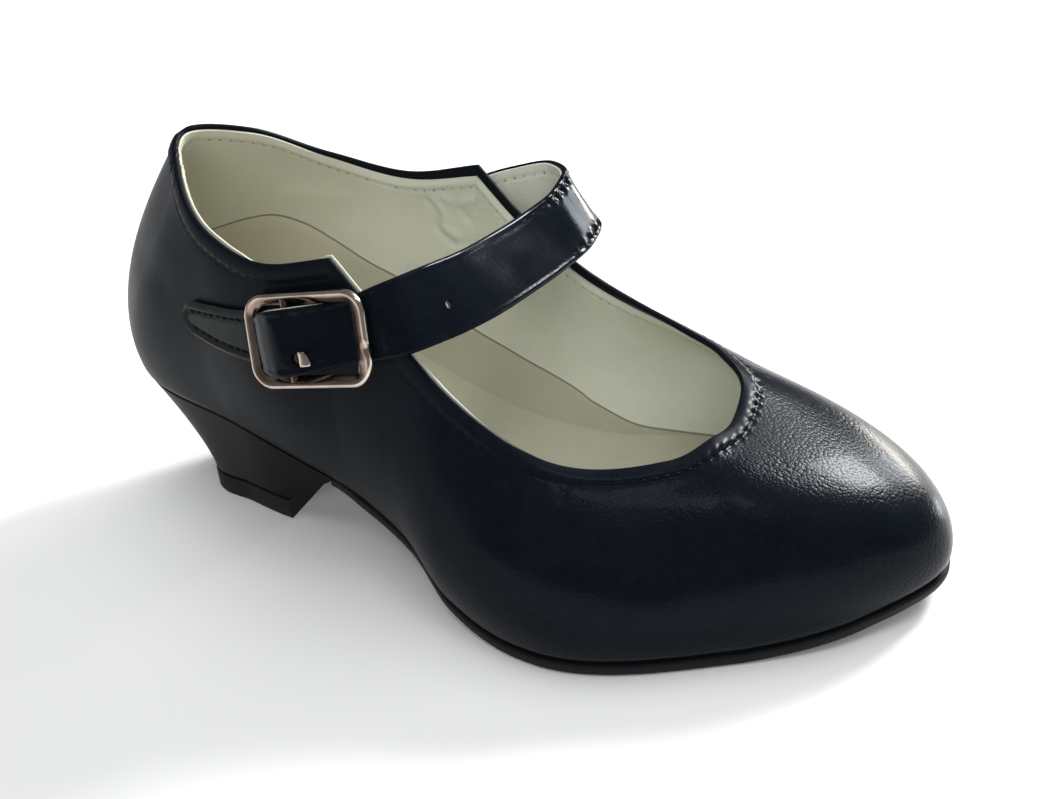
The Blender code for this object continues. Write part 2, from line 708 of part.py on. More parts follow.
def make_buckle_frame():
    """Rounded rectangle of flat wire, with the centre bar."""
    points, directions = rounded_rectangle(
        BUCKLE_LENGTH - WIRE_WIDTH, BUCKLE_HEIGHT - WIRE_WIDTH, BUCKLE_CORNER - WIRE_WIDTH / 2)
    angles = np.arange(ROUND_SIDES) * 2 * math.pi / ROUND_SIDES
    rings = []
    for point, direction in zip(points, directions):
        ring = []
        for angle in angles:
            plan = point + direction * math.cos(angle) * WIRE_WIDTH / 2
            rise = FRAME_STAND_OFF + FRAME_TILT * plan[0] + math.sin(angle) * WIRE_THICKNESS / 2
            ring.append(buckle_place(plan[0], plan[1], rise))
        rings.append(ring)
    frame = sweep_piece("buckle_frame", rings, NICKEL, closed=True)
    reach = BUCKLE_HEIGHT / 2 - WIRE_WIDTH / 2
    bar = round_rod("centre_bar", buckle_place(BAR_PLACE, -reach, BAR_STAND_OFF),
                    buckle_place(BAR_PLACE, reach, BAR_STAND_OFF), BAR_DIAMETER, NICKEL)
    boolean(frame, bar, "UNION")
    return frame


def make_buckle_tab():
    """Tapered tab, sewn on the quarter and folded round the centre bar, slit for the prong."""
    centres, faces, half_widths = [], [], []
    for row in TAB_ROWS:
        place, normal = on_wall(-1, row.along, row.rise, GAP + TAB_THICKNESS / 2)
        centres.append(place)
        faces.append(normal)
        half_widths.append(row.half_width)
    along_axis, out = buckle_axes()[1::2]
    radius = BAR_DIAMETER / 2 + WRAP_PLAY + TAB_THICKNESS / 2
    for angle in np.radians(np.linspace(*WRAP_TURN, WRAP_STEPS)):
        centres.append(buckle_place(BAR_PLACE + math.cos(angle) * radius, 0.0,
                                    BAR_STAND_OFF + math.sin(angle) * radius))
        faces.append(-along_axis * math.cos(angle) - out * math.sin(angle))
        half_widths.append(WRAP_HALF_WIDTH)
    centres = np.array(centres)
    run = unit(np.gradient(centres, axis=0))
    width_axis = unit(np.cross(np.array(faces), run))
    rings = []
    for centre, half, direction, side in zip(centres, half_widths, run, width_axis):
        rings.append(strap_ring(centre, side, np.cross(direction, side), 2 * half, TAB_THICKNESS))
    tab = sweep_piece("buckle_tab", rings, LEATHER)
    slit_rings = []
    for off in (BAR_STAND_OFF - SLIT_DEEP, BAR_STAND_OFF + SLIT_HIGH):
        slit_rings.append([
            buckle_place(BAR_PLACE + along * SLIT_LENGTH / 2, PRONG_PLACE + up * SLIT_WIDTH / 2, off)
            for along, up in ((-1, -1), (-1, 1), (1, 1), (1, -1))
        ])
    slit = sweep_piece("prong_slit", slit_rings, LEATHER)
    boolean(tab, slit, "DIFFERENCE")
    return tab


def make_buckle_prong():
    """Prong hooked over the centre bar, out through the strap's hole and turned forward."""
    radius = BAR_DIAMETER / 2 + PRONG_PLAY + PRONG_DIAMETER / 2
    path = []
    for angle in np.radians(np.linspace(*PRONG_HOOK, HOOK_STEPS)):
        path.append((BAR_PLACE + math.cos(angle) * radius, BAR_STAND_OFF + math.sin(angle) * radius))
    for along, off in PRONG_ROWS:
        path.append((BAR_PLACE + along, off))
    centres = np.array([buckle_place(along, PRONG_PLACE, off) for along, off in path])
    run = unit(np.gradient(centres, axis=0))
    up = buckle_axes()[2]
    angles = (np.arange(ROUND_SIDES) + 0.5) * 2 * math.pi / ROUND_SIDES
    rings = []
    for centre, direction in zip(centres, run):
        side = unit(np.cross(direction, up))
        rings.append([
            centre + (side * math.cos(angle) + up * math.sin(angle)) * PRONG_DIAMETER / 2
            for angle in angles
        ])
    return sweep_piece("buckle_prong", rings, NICKEL)


def main():
    for item in list(bpy.data.objects):
        bpy.data.objects.remove(item)
    pieces = [
        make_upper(), make_outsole(), make_heel(), make_heel_lift(), make_insole(),
        make_strap(), make_buckle_frame(), make_buckle_tab(), make_buckle_prong(),
    ]
    corners = np.concatenate([
        np.array([vertex.co for vertex in piece.data.vertices]) for piece in pieces
    ])
    middle = (corners.min(axis=0) + corners.max(axis=0)) / 2
    shoe = bpy.data.objects.new("shoe", None)
    shoe.location = (-middle[0], -middle[1], 0.0)
    bpy.context.scene.collection.objects.link(shoe)
    for item in bpy.data.objects:
        if item.type == "MESH":
            item.parent = shoe


main()
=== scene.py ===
# %% [markdown]
# # A child's flamenco shoe in black leather
#
# This lesson dresses the plain solid model of one right shoe, so that it looks like a real one in a
# photo studio. The model comes in first and stays where it is. Everything made here sits in the same
# place and in the same frame: the toe points along +X, the inner side of the foot is on +Y, and the
# floor is at Z = 0.

# %% Load the model
import json
import math
from collections import namedtuple
from functools import lru_cache

import bmesh
import bpy
import numpy as np
from mathutils import Matrix, Vector

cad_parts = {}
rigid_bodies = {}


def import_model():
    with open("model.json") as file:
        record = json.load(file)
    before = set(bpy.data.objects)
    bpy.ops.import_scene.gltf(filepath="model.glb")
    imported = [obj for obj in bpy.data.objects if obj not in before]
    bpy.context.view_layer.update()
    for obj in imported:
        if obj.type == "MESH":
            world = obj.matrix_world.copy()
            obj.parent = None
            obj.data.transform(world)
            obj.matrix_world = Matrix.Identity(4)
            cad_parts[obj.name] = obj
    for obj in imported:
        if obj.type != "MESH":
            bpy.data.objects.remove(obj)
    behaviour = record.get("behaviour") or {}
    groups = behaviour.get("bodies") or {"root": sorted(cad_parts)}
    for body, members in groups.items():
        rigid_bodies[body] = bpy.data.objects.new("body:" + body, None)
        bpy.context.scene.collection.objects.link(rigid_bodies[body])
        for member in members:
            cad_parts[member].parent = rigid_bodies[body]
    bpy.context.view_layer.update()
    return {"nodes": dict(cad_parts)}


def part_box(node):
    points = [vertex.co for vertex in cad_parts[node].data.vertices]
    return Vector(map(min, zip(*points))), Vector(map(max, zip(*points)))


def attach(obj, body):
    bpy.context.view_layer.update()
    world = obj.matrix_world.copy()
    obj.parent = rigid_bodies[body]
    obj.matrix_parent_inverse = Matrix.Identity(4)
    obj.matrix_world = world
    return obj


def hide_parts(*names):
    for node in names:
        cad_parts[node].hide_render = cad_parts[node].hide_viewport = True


for item in list(bpy.data.objects):
    bpy.data.objects.remove(item)
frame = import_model()
print("the model has", len(frame["nodes"]), "pieces")

# %% [markdown]
# ## The last in numbers
#
# A shoemaker starts from a last, the wooden foot that the leather is pulled over. Here the last is a
# table: one row for each line that climbs from the feather edge, where the leather meets the sole, to
# the topline, where the shoe opens. Two handles bend each line like a drawing curve. Keeping the form
# in a table means that every later piece can be laid on the same surface at any fineness.

# %% Sizes and tables, in millimetres
MM = 0.001
LENGTH = 173.0
BALL_WIDTH = 70.5
COLLAR_HEIGHT = 76.5
SEAT_HEIGHT = 27.3
TREAD = 2.7
WALL = 1.8
LEATHER = 0.75          # leather's inner face under the wall's outer face
LINING_OUT = 0.85       # lining's outer face under the wall's outer face
FOLD_WIDTH = 3.2
FOLD_PROUD = 0.35
FOLD_PILLOW = 0.16
RIM_RADIUS = 0.55
SEAM_PITCH = 2.1
SEAM_BELOW = 3.1        # topline seam under the edge
THREAD = 0.42

Profile = namedtuple("Profile", "along rise")
PROFILE = [Profile(*row) for row in (
    (0.000, 1.000), (0.058, 0.963), (0.127, 0.878), (0.231, 0.711),
    (0.324, 0.533), (0.416, 0.305), (0.509, 0.094), (0.580, 0.008),
    (0.624, 0.000), (0.821, 0.000), (0.908, 0.070), (1.000, 0.200),
)]
# pucker is how strongly the topline seam gathers the leather
Station = namedtuple(
    "Station", "name along across low_out low_up high_out high_down rim_along rim_across rim_rise pucker")
STATIONS = [Station(*row) for row in (
    ("heel_back", 0.009, 0.000, 4.0, 19.0, 7.0, 10.0, 0.124, 0.000, 1.000, 0.3),
    ("heel_corner_l", 0.061, -0.184, 5.5, 17.0, 6.0, 14.0, 0.165, -0.170, 0.967, 0.3),
    ("heel_side_l", 0.199, -0.248, 6.0, 16.0, 5.0, 16.0, 0.240, -0.319, 0.882, 0.3),
    ("quarter_l", 0.289, -0.277, 7.0, 16.0, 4.0, 16.0, 0.315, -0.369, 0.856, 0.3),
    ("corner_l", 0.370, -0.298, 7.0, 15.0, 3.0, 16.0, 0.393, -0.355, 0.889, 0.3),
    ("strap_l", 0.439, -0.355, 7.0, 14.0, 3.0, 12.0, 0.445, -0.362, 0.752, 0.3),
    ("waist_l", 0.514, -0.482, 6.0, 13.0, 4.0, 8.0, 0.514, -0.376, 0.595, 0.4),
    ("ball_l", 0.630, -0.560, 5.0, 13.0, 9.0, 4.0, 0.604, -0.362, 0.464, 0.6),
    ("toe_side_l", 0.815, -0.383, 4.0, 14.0, 12.0, 3.0, 0.720, -0.220, 0.425, 0.9),
    ("toe_corner_l", 0.925, -0.191, 3.5, 15.5, 18.0, 3.0, 0.749, -0.106, 0.431, 1.1),
    ("toe_tip", 0.991, 0.050, 3.0, 15.5, 22.0, 4.5, 0.760, 0.014, 0.425, 1.3),
    ("toe_corner_m", 0.971, 0.213, 3.0, 14.5, 18.0, 5.0, 0.754, 0.135, 0.438, 1.4),
    ("toe_side_m", 0.867, 0.376, 4.0, 13.5, 12.0, 5.0, 0.718, 0.246, 0.458, 1.4),
    ("ball_m", 0.711, 0.440, 5.0, 13.0, 9.0, 4.0, 0.656, 0.333, 0.471, 1.0),
    ("waist_m", 0.543, 0.333, 6.0, 14.0, 4.0, 8.0, 0.532, 0.369, 0.588, 0.5),
    ("strap_m", 0.451, 0.270, 7.0, 14.0, 3.0, 12.0, 0.468, 0.348, 0.719, 0.3),
    ("corner_m", 0.370, 0.252, 7.0, 15.0, 3.0, 16.0, 0.410, 0.376, 0.837, 0.3),
    ("quarter_m", 0.289, 0.255, 7.0, 16.0, 4.0, 16.0, 0.324, 0.355, 0.804, 0.3),
    ("heel_side_m", 0.197, 0.262, 6.0, 16.0, 5.0, 16.0, 0.231, 0.312, 0.850, 0.3),
    ("heel_corner_m", 0.081, 0.184, 5.0, 17.0, 6.0, 14.0, 0.168, 0.156, 0.961, 0.3),
)]
CORNERS = ("corner_l", "corner_m")
BREAST_INDEX = 3.52
# Cut edge of the lining: place in the rows above, and how far it lies under the topline
LINING_TOP = np.array([
    (0.0, 0.5), (0.4, 0.4), (0.8, -0.1), (1.4, -0.25), (2.2, -0.3), (2.6, -0.1), (2.85, 0.5), (3.75, 0.5),
    (3.9, -0.2), (4.1, -0.35), (5.0, -0.3), (6.0, -0.2), (7.0, 0.0), (8.0, 0.6), (10.0, 1.0), (11.0, 1.2),
    (13.0, 1.9), (15.0, 2.0), (16.0, 2.2), (17.0, 1.4), (18.0, 0.9), (19.0, 0.7), (20.0, 0.5),
])
# Seam of the lining: place in the rows above, counted from the heel on either side, and height over the
# feather line
LINING_SEAM = np.array([
    (0.0, 21.5), (0.67, 24.3), (1.0, 27.0), (1.27, 28.3), (1.6, 26.8), (2.0, 23.6), (2.42, 21.3), (2.9, 20.3),
    (4.27, 17.2), (5.0, 16.1), (5.57, 13.9), (5.9, 11.4), (6.12, 8.6), (6.3, 6.0), (6.6, 4.4), (7.2, 4.0),
    (10.0, 4.0),
])
print("the last has", len(STATIONS), "lines")


# %% [markdown]
# ## Curves and the wall
#
# A cubic curve runs smoothly through the rows of each table. `wall` gives the leather's outer face at
# any place: `share` goes once round the shoe, and `rise` goes from the feather edge at 0 to the topline
# at 1. The topline has a true corner at the tab of each quarter, so it is made of two curves.

# %% Curves through the tables
def smooth_curve(knots, values, at):
    """Cubic curve through one row of values for each knot, read at the places in at."""
    step = np.diff(knots)[:, None]
    chord = np.diff(values, axis=0) / step
    inner = (chord[:-1] * step[1:] + chord[1:] * step[:-1]) / (step[:-1] + step[1:])
    slope = np.vstack([chord[:1], inner, chord[-1:]])
    left = np.clip(np.searchsorted(knots, at, side="right") - 1, 0, len(knots) - 2)
    width = step[left]
    t = (np.asarray(at) - knots[left])[:, None] / width
    start = values[left] * (1 + 2 * t) * (1 - t) ** 2 + slope[left] * width * t * (1 - t) ** 2
    end = values[left + 1] * t ** 2 * (3 - 2 * t) + slope[left + 1] * width * t ** 2 * (t - 1)
    return start + end


def unit(vectors):
    return vectors / np.linalg.norm(vectors, axis=-1, keepdims=True)


def tape(points):
    """Distances run along a line of points, from its start."""
    return np.concatenate([[0.0], np.cumsum(np.linalg.norm(np.diff(points, axis=0), axis=1))])


def smooth_step(low, high, value):
    t = np.clip((value - low) / (high - low), 0.0, 1.0)
    return t * t * (3 - 2 * t)


def bell(distance, width):
    return np.exp(-(distance / width) ** 2)


def column(name):
    return np.array([[getattr(row, name)] for row in STATIONS])


PROFILE_PLACES = np.array([row.along * LENGTH for row in PROFILE])
PROFILE_RISES = np.array([[row.rise * (SEAT_HEIGHT - TREAD)] for row in PROFILE])
FEATHER = np.hstack([column("along") * LENGTH, column("across") * BALL_WIDTH])
HANDLES = np.hstack([column(name) for name in ("low_out", "low_up", "high_out", "high_down")])
RIM = np.hstack([
    column("rim_along") * LENGTH, column("rim_across") * BALL_WIDTH, column("rim_rise") * COLLAR_HEIGHT,
])
COUNT = len(STATIONS)
TOE_INDEX = COUNT // 2
LEGS = np.linalg.norm(np.roll(FEATHER, -1, axis=0) - FEATHER, axis=1)
KNOTS = np.concatenate([[0.0], np.cumsum(LEGS)]) / LEGS.sum()
FIRST_CORNER, LAST_CORNER = [i for i, row in enumerate(STATIONS) if row.name in CORNERS]


def profile(x):
    """Height of the feather line above the floor."""
    return TREAD + np.maximum(smooth_curve(PROFILE_PLACES, PROFILE_RISES, x)[:, 0], 0.0)


def share_at(index):
    """Share of the loop at a place in the station rows."""
    return np.interp(index, np.arange(COUNT + 1), KNOTS)


def around(values, share):
    """Closed curve through one row for each station."""
    rows = np.arange(-3, COUNT + 4)
    knots = KNOTS[rows % COUNT] + rows // COUNT
    return smooth_curve(knots, values[rows % COUNT], np.mod(share, 1.0))


def rim(share):
    """Topline, with a sharp corner at the tab of each quarter."""
    share = np.mod(share, 1.0)
    front_rows = np.arange(FIRST_CORNER, LAST_CORNER + 1)
    back_rows = np.arange(LAST_CORNER - COUNT, FIRST_CORNER + 1)
    back_knots = KNOTS[back_rows % COUNT] + back_rows // COUNT
    back_share = np.where(share > KNOTS[LAST_CORNER], share - 1.0, share)
    front = smooth_curve(KNOTS[front_rows], RIM[front_rows], share)
    back = smooth_curve(back_knots, RIM[back_rows % COUNT], back_share)
    in_front = (share >= KNOTS[FIRST_CORNER]) & (share <= KNOTS[LAST_CORNER])
    return np.where(in_front[:, None], front, back)


# %% The wall
def outward(share):
    """Level direction away from the shoe, square to the feather line."""
    ahead = around(FEATHER, share + 1e-4) - around(FEATHER, share - 1e-4)
    return unit(np.column_stack([ahead[:, 1], -ahead[:, 0], np.zeros(len(ahead))]))


def feather(share, inset=0.0):
    """Points of the feather line, moved inwards by inset."""
    plan = around(FEATHER, share)
    points = np.column_stack([plan, np.zeros(len(plan))]) - outward(share) * inset
    points[:, 2] = profile(points[:, 0])
    return points


def wall(share, rise):
    """Outer face of the upper: share goes round the shoe, rise from feather line to topline."""
    low = feather(share)
    high = rim(share)
    out = outward(share)
    up = np.array([0.0, 0.0, 1.0])
    handle = around(HANDLES, share)
    low_bend = low + out * handle[:, 0:1] + up * handle[:, 1:2]
    high_bend = high + out * handle[:, 2:3] - up * handle[:, 3:4]
    t = np.asarray(rise)[:, None]
    return (low * (1 - t) ** 3 + low_bend * 3 * t * (1 - t) ** 2
            + high_bend * 3 * t ** 2 * (1 - t) + high * t ** 3)


def wall_normal(share, rise):
    rise = np.asarray(rise)
    across = wall(share + 5e-4, rise) - wall(share - 5e-4, rise)
    upward = wall(share, np.minimum(rise + 5e-3, 1.0)) - wall(share, np.maximum(rise - 5e-3, 0.0))
    return unit(np.cross(across, upward))


@lru_cache(maxsize=None)
def on_wall(side, along, height, off):
    """Point and normal off a side wall, found from its place along the shoe and its height."""
    index, index_reach = TOE_INDEX / 2, TOE_INDEX / 2 - 1.0
    rise, rise_reach = 0.5, 0.5
    while index_reach > 1e-4:
        indices = index + np.linspace(-index_reach, index_reach, 31)
        rises = np.clip(rise + np.linspace(-rise_reach, rise_reach, 31), 0.0, 1.0)
        grid_index, grid_rise = [part.ravel() for part in np.meshgrid(indices, rises)]
        share = share_at(grid_index if side < 0 else COUNT - grid_index)
        points = wall(share, grid_rise)
        best = np.argmin((points[:, 0] - along) ** 2 + (points[:, 2] - height) ** 2)
        index, rise = grid_index[best], grid_rise[best]
        index_reach /= 8
        rise_reach /= 8
    normal = wall_normal(share[best:best + 1], grid_rise[best:best + 1])[0]
    return points[best] + normal * off, normal


# %% [markdown]
# ## Laying things on the wall
#
# Fold, seam and lining are all measured in millimetres from the topline, so each wall line gets a
# measuring tape: the distance run from the feather edge at a set of rises. Where the topline runs
# steeply, at the front of the quarters, a distance square to the edge is longer along the wall line,
# and `stretch` says how much longer.

# %% Measuring along the wall
def lattice(share, rise):
    """Points and normals of the wall for one share a line and a row of rises for each."""
    rows = rise.shape[1]
    flat = np.repeat(share, rows), rise.ravel()
    shape = (len(share), rows, 3)
    return wall(*flat).reshape(shape), wall_normal(*flat).reshape(shape)


class WallLines:
    """Wall lines with a tape along each: tops are the lengths from feather line to topline."""

    def __init__(self, count):
        self.index = np.arange(count) * COUNT / count
        self.share = share_at(self.index)
        self.steps = np.linspace(0.0, 1.0, 61)
        lines, normals = lattice(self.share, np.tile(self.steps, (count, 1)))
        legs = np.linalg.norm(np.diff(lines, axis=1), axis=2)
        self.runs = np.hstack([np.zeros((count, 1)), np.cumsum(legs, axis=1)])
        self.tops = self.runs[:, -1:]
        self.edge = lines[:, -1]
        self.edge_out = normals[:, -1]
        self.edge_up = unit(lines[:, -1] - lines[:, -2])
        ahead = np.roll(self.edge, -1, axis=0) - np.roll(self.edge, 1, axis=0)
        slant = np.sum(unit(ahead) * self.edge_up, axis=1)
        self.stretch = np.minimum(1.0 / np.sqrt(1.0 - slant ** 2), 2.0)[:, None]
        around_edge = np.linalg.norm(self.edge - np.roll(self.edge, 1, axis=0), axis=1)
        around_edge[0] = 0.0
        self.along_edge = np.cumsum(around_edge)[:, None]

    def rises(self, run):
        """Rises of the places at the given distances from the feather line, a row for each line."""
        return np.array([np.interp(row, line, self.steps) for row, line in zip(run, self.runs)])

    def place(self, below):
        """Points and normals at distances under the topline. Negative ones stand over it."""
        points, normals = lattice(self.share, self.rises(self.tops - below))
        over = np.maximum(-below, 0.0)[:, :, None]
        return points + self.edge_up[:, None, :] * over, normals


# %% [markdown]
# ## Meshes from rings
#
# Most pieces are a row of rings: each ring is a closed loop of points, and neighbouring rings are
# joined by quads. A piece that comes back to its start is closed that way, and any other piece gets a
# lid at each end. The helper also moves the points from the last's own zero to the model's.

# %% Making meshes
ASKEW = (0.31, 0.22, 0.93)    # a direction that no thread or rod runs in
ROD_SIDES = 24
node_low, node_high = [np.array(corner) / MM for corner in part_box("upper")]
probe_rise = np.tile(np.linspace(0.0, 0.93, 10), COUNT * 5)
probe = wall(np.repeat(share_at(np.arange(COUNT * 5) / 5), 10), probe_rise)
SHIFT = (node_low + node_high) / 2 - (probe.min(axis=0) + probe.max(axis=0)) / 2
SHIFT[2] = 0.0
print("the last's zero lies at", SHIFT.round(2), "mm")


def finish_mesh(name, points, faces, material, values=None, sharp=40.0):
    """Closed smooth mesh object from points in millimetres, with values stored on its points."""
    mesh = bpy.data.meshes.new(name)
    mesh.from_pydata(((np.asarray(points) + SHIFT) * MM).tolist(), [], faces)
    for key, numbers in (values or {}).items():
        mesh.attributes.new(key, "FLOAT", "POINT").data.foreach_set("value", np.ravel(numbers))
    shape = bmesh.new()
    shape.from_mesh(mesh)
    bmesh.ops.recalc_face_normals(shape, faces=shape.faces)
    shape.to_mesh(mesh)
    shape.free()
    mesh.shade_smooth()
    mesh.set_sharp_from_angle(angle=math.radians(sharp))
    mesh.materials.append(material)
    piece = bpy.data.objects.new(name, mesh)
    bpy.context.scene.collection.objects.link(piece)
    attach(piece, "root")
    return piece


def ring_faces(ring_count, ring_size, closed, first=0):
    """Quads between neighbouring rings, and a lid on each end when not closed."""
    faces = []
    for i in range(ring_count if closed else ring_count - 1):
        here = first + i * ring_size
        after = first + (i + 1) % ring_count * ring_size
        for j in range(ring_size):
            k = (j + 1) % ring_size
            faces.append((here + j, after + j, after + k, here + k))
    if not closed:
        last = first + (ring_count - 1) * ring_size
        faces.append(tuple(range(first, first + ring_size)))
        faces.append(tuple(range(last, last + ring_size)))
    return faces


def ring_piece(name, rings, material, closed=False, values=None, sharp=40.0):
    rings = np.asarray(rings)
    faces = ring_faces(rings.shape[0], rings.shape[1], closed)
    return finish_mesh(name, rings.reshape(-1, 3), faces, material, values, sharp)


# %% Round pieces, strips and seams
def round_rings(path, radius, sides):
    """A round ring of points about each point of a path. A radius for each, or one for all."""
    run = unit(np.gradient(path, axis=0))
    side = unit(np.cross(run, ASKEW))
    other = np.cross(run, side)
    angles = (np.arange(sides) * 2 * math.pi / sides)[:, None]
    circle = side[:, None] * np.cos(angles) + other[:, None] * np.sin(angles)
    return path[:, None] + circle * np.reshape(radius, (-1, 1, 1))


def tubes(name, paths, radius, material, sides=8):
    """One mesh of many round cords, each along its own path of points, thin at both ends."""
    points, faces = [], []
    for path in paths:
        thick = radius * np.sqrt(1.0 - 0.75 * np.linspace(-1.0, 1.0, len(path)) ** 4)
        faces += ring_faces(len(path), sides, False, len(points))
        points += list(round_rings(path, thick, sides).reshape(-1, 3))
    return finish_mesh(name, points, faces, material, sharp=80.0)


def rod(name, start, end, diameter, material, values=None):
    """Straight round rod between two points."""
    rings = round_rings(np.array([start, end]), diameter / 2, ROD_SIDES)
    return ring_piece(name, rings, material, values=values)


def sweep(name, sections, middle, side, out, material, values=None, sharp=40.0):
    """A strip along a middle line. It has a section at each place: pairs of distances across and out."""
    rings = [
        [middle[i] + side[i] * across + out[i] * off for across, off in section]
        for i, section in enumerate(sections)
    ]
    return ring_piece(name, rings, material, values=values, sharp=sharp)


def seam_paths(points, normals, pitch, length=0.72, arch=0.16, sink=0.3):
    """Paths of the threads of a seam that lies on a line of points, each arched between two holes."""
    run = tape(points)
    paths = []
    for start in np.arange(pitch / 2, run[-1] - pitch, pitch):
        part = np.linspace(0.0, 1.0, 7)
        at = start + (part - 0.5) * length * pitch
        spot = np.column_stack([np.interp(at, run, points[:, axis]) for axis in range(3)])
        out = unit(np.column_stack([np.interp(at, run, normals[:, axis]) for axis in range(3)]))
        lift = arch - (arch + sink) * (2 * part - 1) ** 4
        paths.append(spot + out * lift[:, None])
    return paths


def cut(piece, cutter):
    """Takes the cutter's form out of a piece and removes the cutter."""
    modifier = piece.modifiers.new("cut", "BOOLEAN")
    modifier.operation = "DIFFERENCE"
    modifier.object = cutter
    bpy.context.view_layer.update()
    shaped = bpy.data.meshes.new_from_object(piece.evaluated_get(bpy.context.evaluated_depsgraph_get()))
    piece.modifiers.remove(modifier)
    piece.data = shaped
    bpy.data.objects.remove(cutter)
    piece.data.set_sharp_from_angle(angle=math.radians(40.0))


# %% [markdown]
# ## Shaders as arithmetic
#
# Procedural materials are mostly sums and products of patterns. Wrapping a socket in a small class
# lets us write those sums as plain Python, and each operator drops one Math node into the material.
# `Finish` owns the material and makes every other node.

# %% A class for node sockets
def operator(operation, swapped=False):
    """Method for a sign such as + that adds one Math node. A swapped one takes the other value first."""
    def method(field, other):
        return field.math(operation, *((other, field) if swapped else (field, other)))
    return method


class Field:
    """A number that flows through a material. Operators on it add Math nodes."""

    __add__, __radd__ = operator("ADD"), operator("ADD", swapped=True)
    __sub__, __rsub__ = operator("SUBTRACT"), operator("SUBTRACT", swapped=True)
    __mul__, __rmul__ = operator("MULTIPLY"), operator("MULTIPLY", swapped=True)
    __truediv__, __pow__ = operator("DIVIDE"), operator("POWER")
    lowest, highest = operator("MINIMUM"), operator("MAXIMUM")

    def __init__(self, finish, socket):
        self.finish = finish
        self.socket = socket

    def math(self, operation, *values):
        node = self.finish.node("ShaderNodeMath", {"operation": operation}, dict(enumerate(values)))
        return Field(self.finish, node.outputs[0])

    def __abs__(self):
        return self.math("ABSOLUTE", self)

    def fraction(self):
        return self.math("FRACT", self)

    def step(self, low, high):
        """0 under low, 1 over high, soft between."""
        return self.finish.field("ShaderNodeMapRange", {"interpolation_type": "SMOOTHSTEP"}, {
            "Value": self, "From Min": low, "From Max": high, "To Min": 0.0, "To Max": 1.0,
        }, "Result")


# %% A class for materials
class Finish:
    """A Principled material. Plain numbers are set on its sockets, patterns are linked to them."""

    def __init__(self, name, **settings):
        self.material = bpy.data.materials.new(name)
        self.material.use_nodes = True
        self.tree = self.material.node_tree
        self.shader = self.tree.nodes["Principled BSDF"]
        self.surface(**settings)

    def surface(self, **settings):
        for key, value in settings.items():
            self.feed(self.shader.inputs[key.replace("_", " ")], value)

    def feed(self, socket, value):
        value = getattr(value, "socket", value)
        if isinstance(value, bpy.types.NodeSocket):
            self.tree.links.new(value, socket)
        else:
            socket.default_value = value

    def node(self, kind, settings=None, inputs=None):
        node = self.tree.nodes.new(kind)
        for key, value in (settings or {}).items():
            setattr(node, key, value)
        for key, value in (inputs or {}).items():
            self.feed(node.inputs[key], value)
        return node

    def field(self, kind, settings, inputs, output):
        return Field(self, self.node(kind, settings, inputs).outputs[output])

    def place(self, stretch=(1.0, 1.0, 1.0)):
        """Place on the object, in metres, stretched along its axes."""
        spot = self.node("ShaderNodeTexCoord").outputs["Object"]
        scaled = self.node("ShaderNodeVectorMath", {"operation": "MULTIPLY"}, {0: spot, 1: stretch})
        return scaled.outputs["Vector"]

    def axis(self, letter):
        parts = self.node("ShaderNodeSeparateXYZ", inputs={"Vector": self.place()})
        return Field(self, parts.outputs[letter])

    def stored(self, name):
        return self.field("ShaderNodeAttribute", {"attribute_name": name}, {}, "Fac")

    def noise(self, scale, detail=2.0, roughness=0.5, at=None):
        return self.field("ShaderNodeTexNoise", {}, {
            "Vector": at or self.place(), "Scale": scale, "Detail": detail, "Roughness": roughness,
        }, "Fac")

    def cells(self, scale):
        return self.field("ShaderNodeTexVoronoi", {}, {"Vector": self.place(), "Scale": scale}, "Distance")

    def mix(self, factor, first, second):
        node = self.node("ShaderNodeMix", {"data_type": "RGBA"}, {"Factor": factor})
        self.feed(node.inputs[6], first)
        self.feed(node.inputs[7], second)
        return node.outputs[2]

    def relief(self, height, depth, strength=1.0):
        """Bumps of the given depth in metres where height goes from 0 to 1."""
        return self.node("ShaderNodeBump", {}, {
            "Height": height, "Distance": depth, "Strength": strength,
        }).outputs["Normal"]


def colour(red, green, blue):
    return (red, green, blue, 1.0)


# %% [markdown]
# ## Black leather
#
# The upper is a coated leather with a fine pebble pressed into it. The pebbles are cells with soft
# grooves between them, about two thirds of a millimetre wide, and they only show where light glances
# off. The black is slightly blue, and wear makes small patches duller. The strap is smoother, and the
# tab is duller, with its black painted lighter as a painted sheen for the light on its puffed edges.
# Towards the heel the grain is flatter and the gloss is softer.

# %% Leather and thread finishes
def leather_finish(name, pebble, depth, gloss, heel_grain=1.0, dust_and_sheen=0.0, heel_haze=0.0):
    """Grained leather, with its pebble in mm, its depth in metres and heel_grain, its share at the heel.

    The grey added to the black is a painted sheen on the tab; heel_haze makes it rougher towards the heel.
    """
    finish = Finish(name, IOR=1.5, Specular_IOR_Level=0.053, Specular_Tint=colour(0.82, 0.92, 1.0),
                    Coat_Roughness=0.1, Coat_IOR=1.35)
    drift = finish.noise(900.0, 2.0)
    domes = 1.0 - finish.cells(1.0 / (pebble * MM)) ** 2.0
    pores = finish.noise(5200.0, 3.0)
    wear = finish.noise(95.0, 4.0, 0.6)
    shade = (0.55 * wear + 0.45 * drift).step(0.3, 0.75)
    forefoot = heel_grain + (1.0 - heel_grain) * finish.axis("X").step(-0.02, 0.035)
    fold = finish.stored("fold")
    pressed = forefoot * (1.0 - fold)
    # the grey added to the black is a painted sheen, used only on the tab
    finish.surface(
        Base_Color=finish.mix(
            shade, colour(0.0031 + dust_and_sheen, 0.0045 + dust_and_sheen, 0.0072 + 0.8 * dust_and_sheen),
            colour(0.0054 + 1.6 * dust_and_sheen, 0.0071 + 1.6 * dust_and_sheen, 0.0104 + 1.3 * dust_and_sheen)),
        Roughness=gloss + 0.12 * wear + 0.05 * pores + 0.07 * fold + heel_haze * (1.0 - forefoot),
        Coat_Weight=0.025 + 0.05 * (1.0 - wear),
        Normal=finish.relief((0.8 * domes + 0.2 * pores) * pressed, depth, 0.9),
    )
    return finish.material


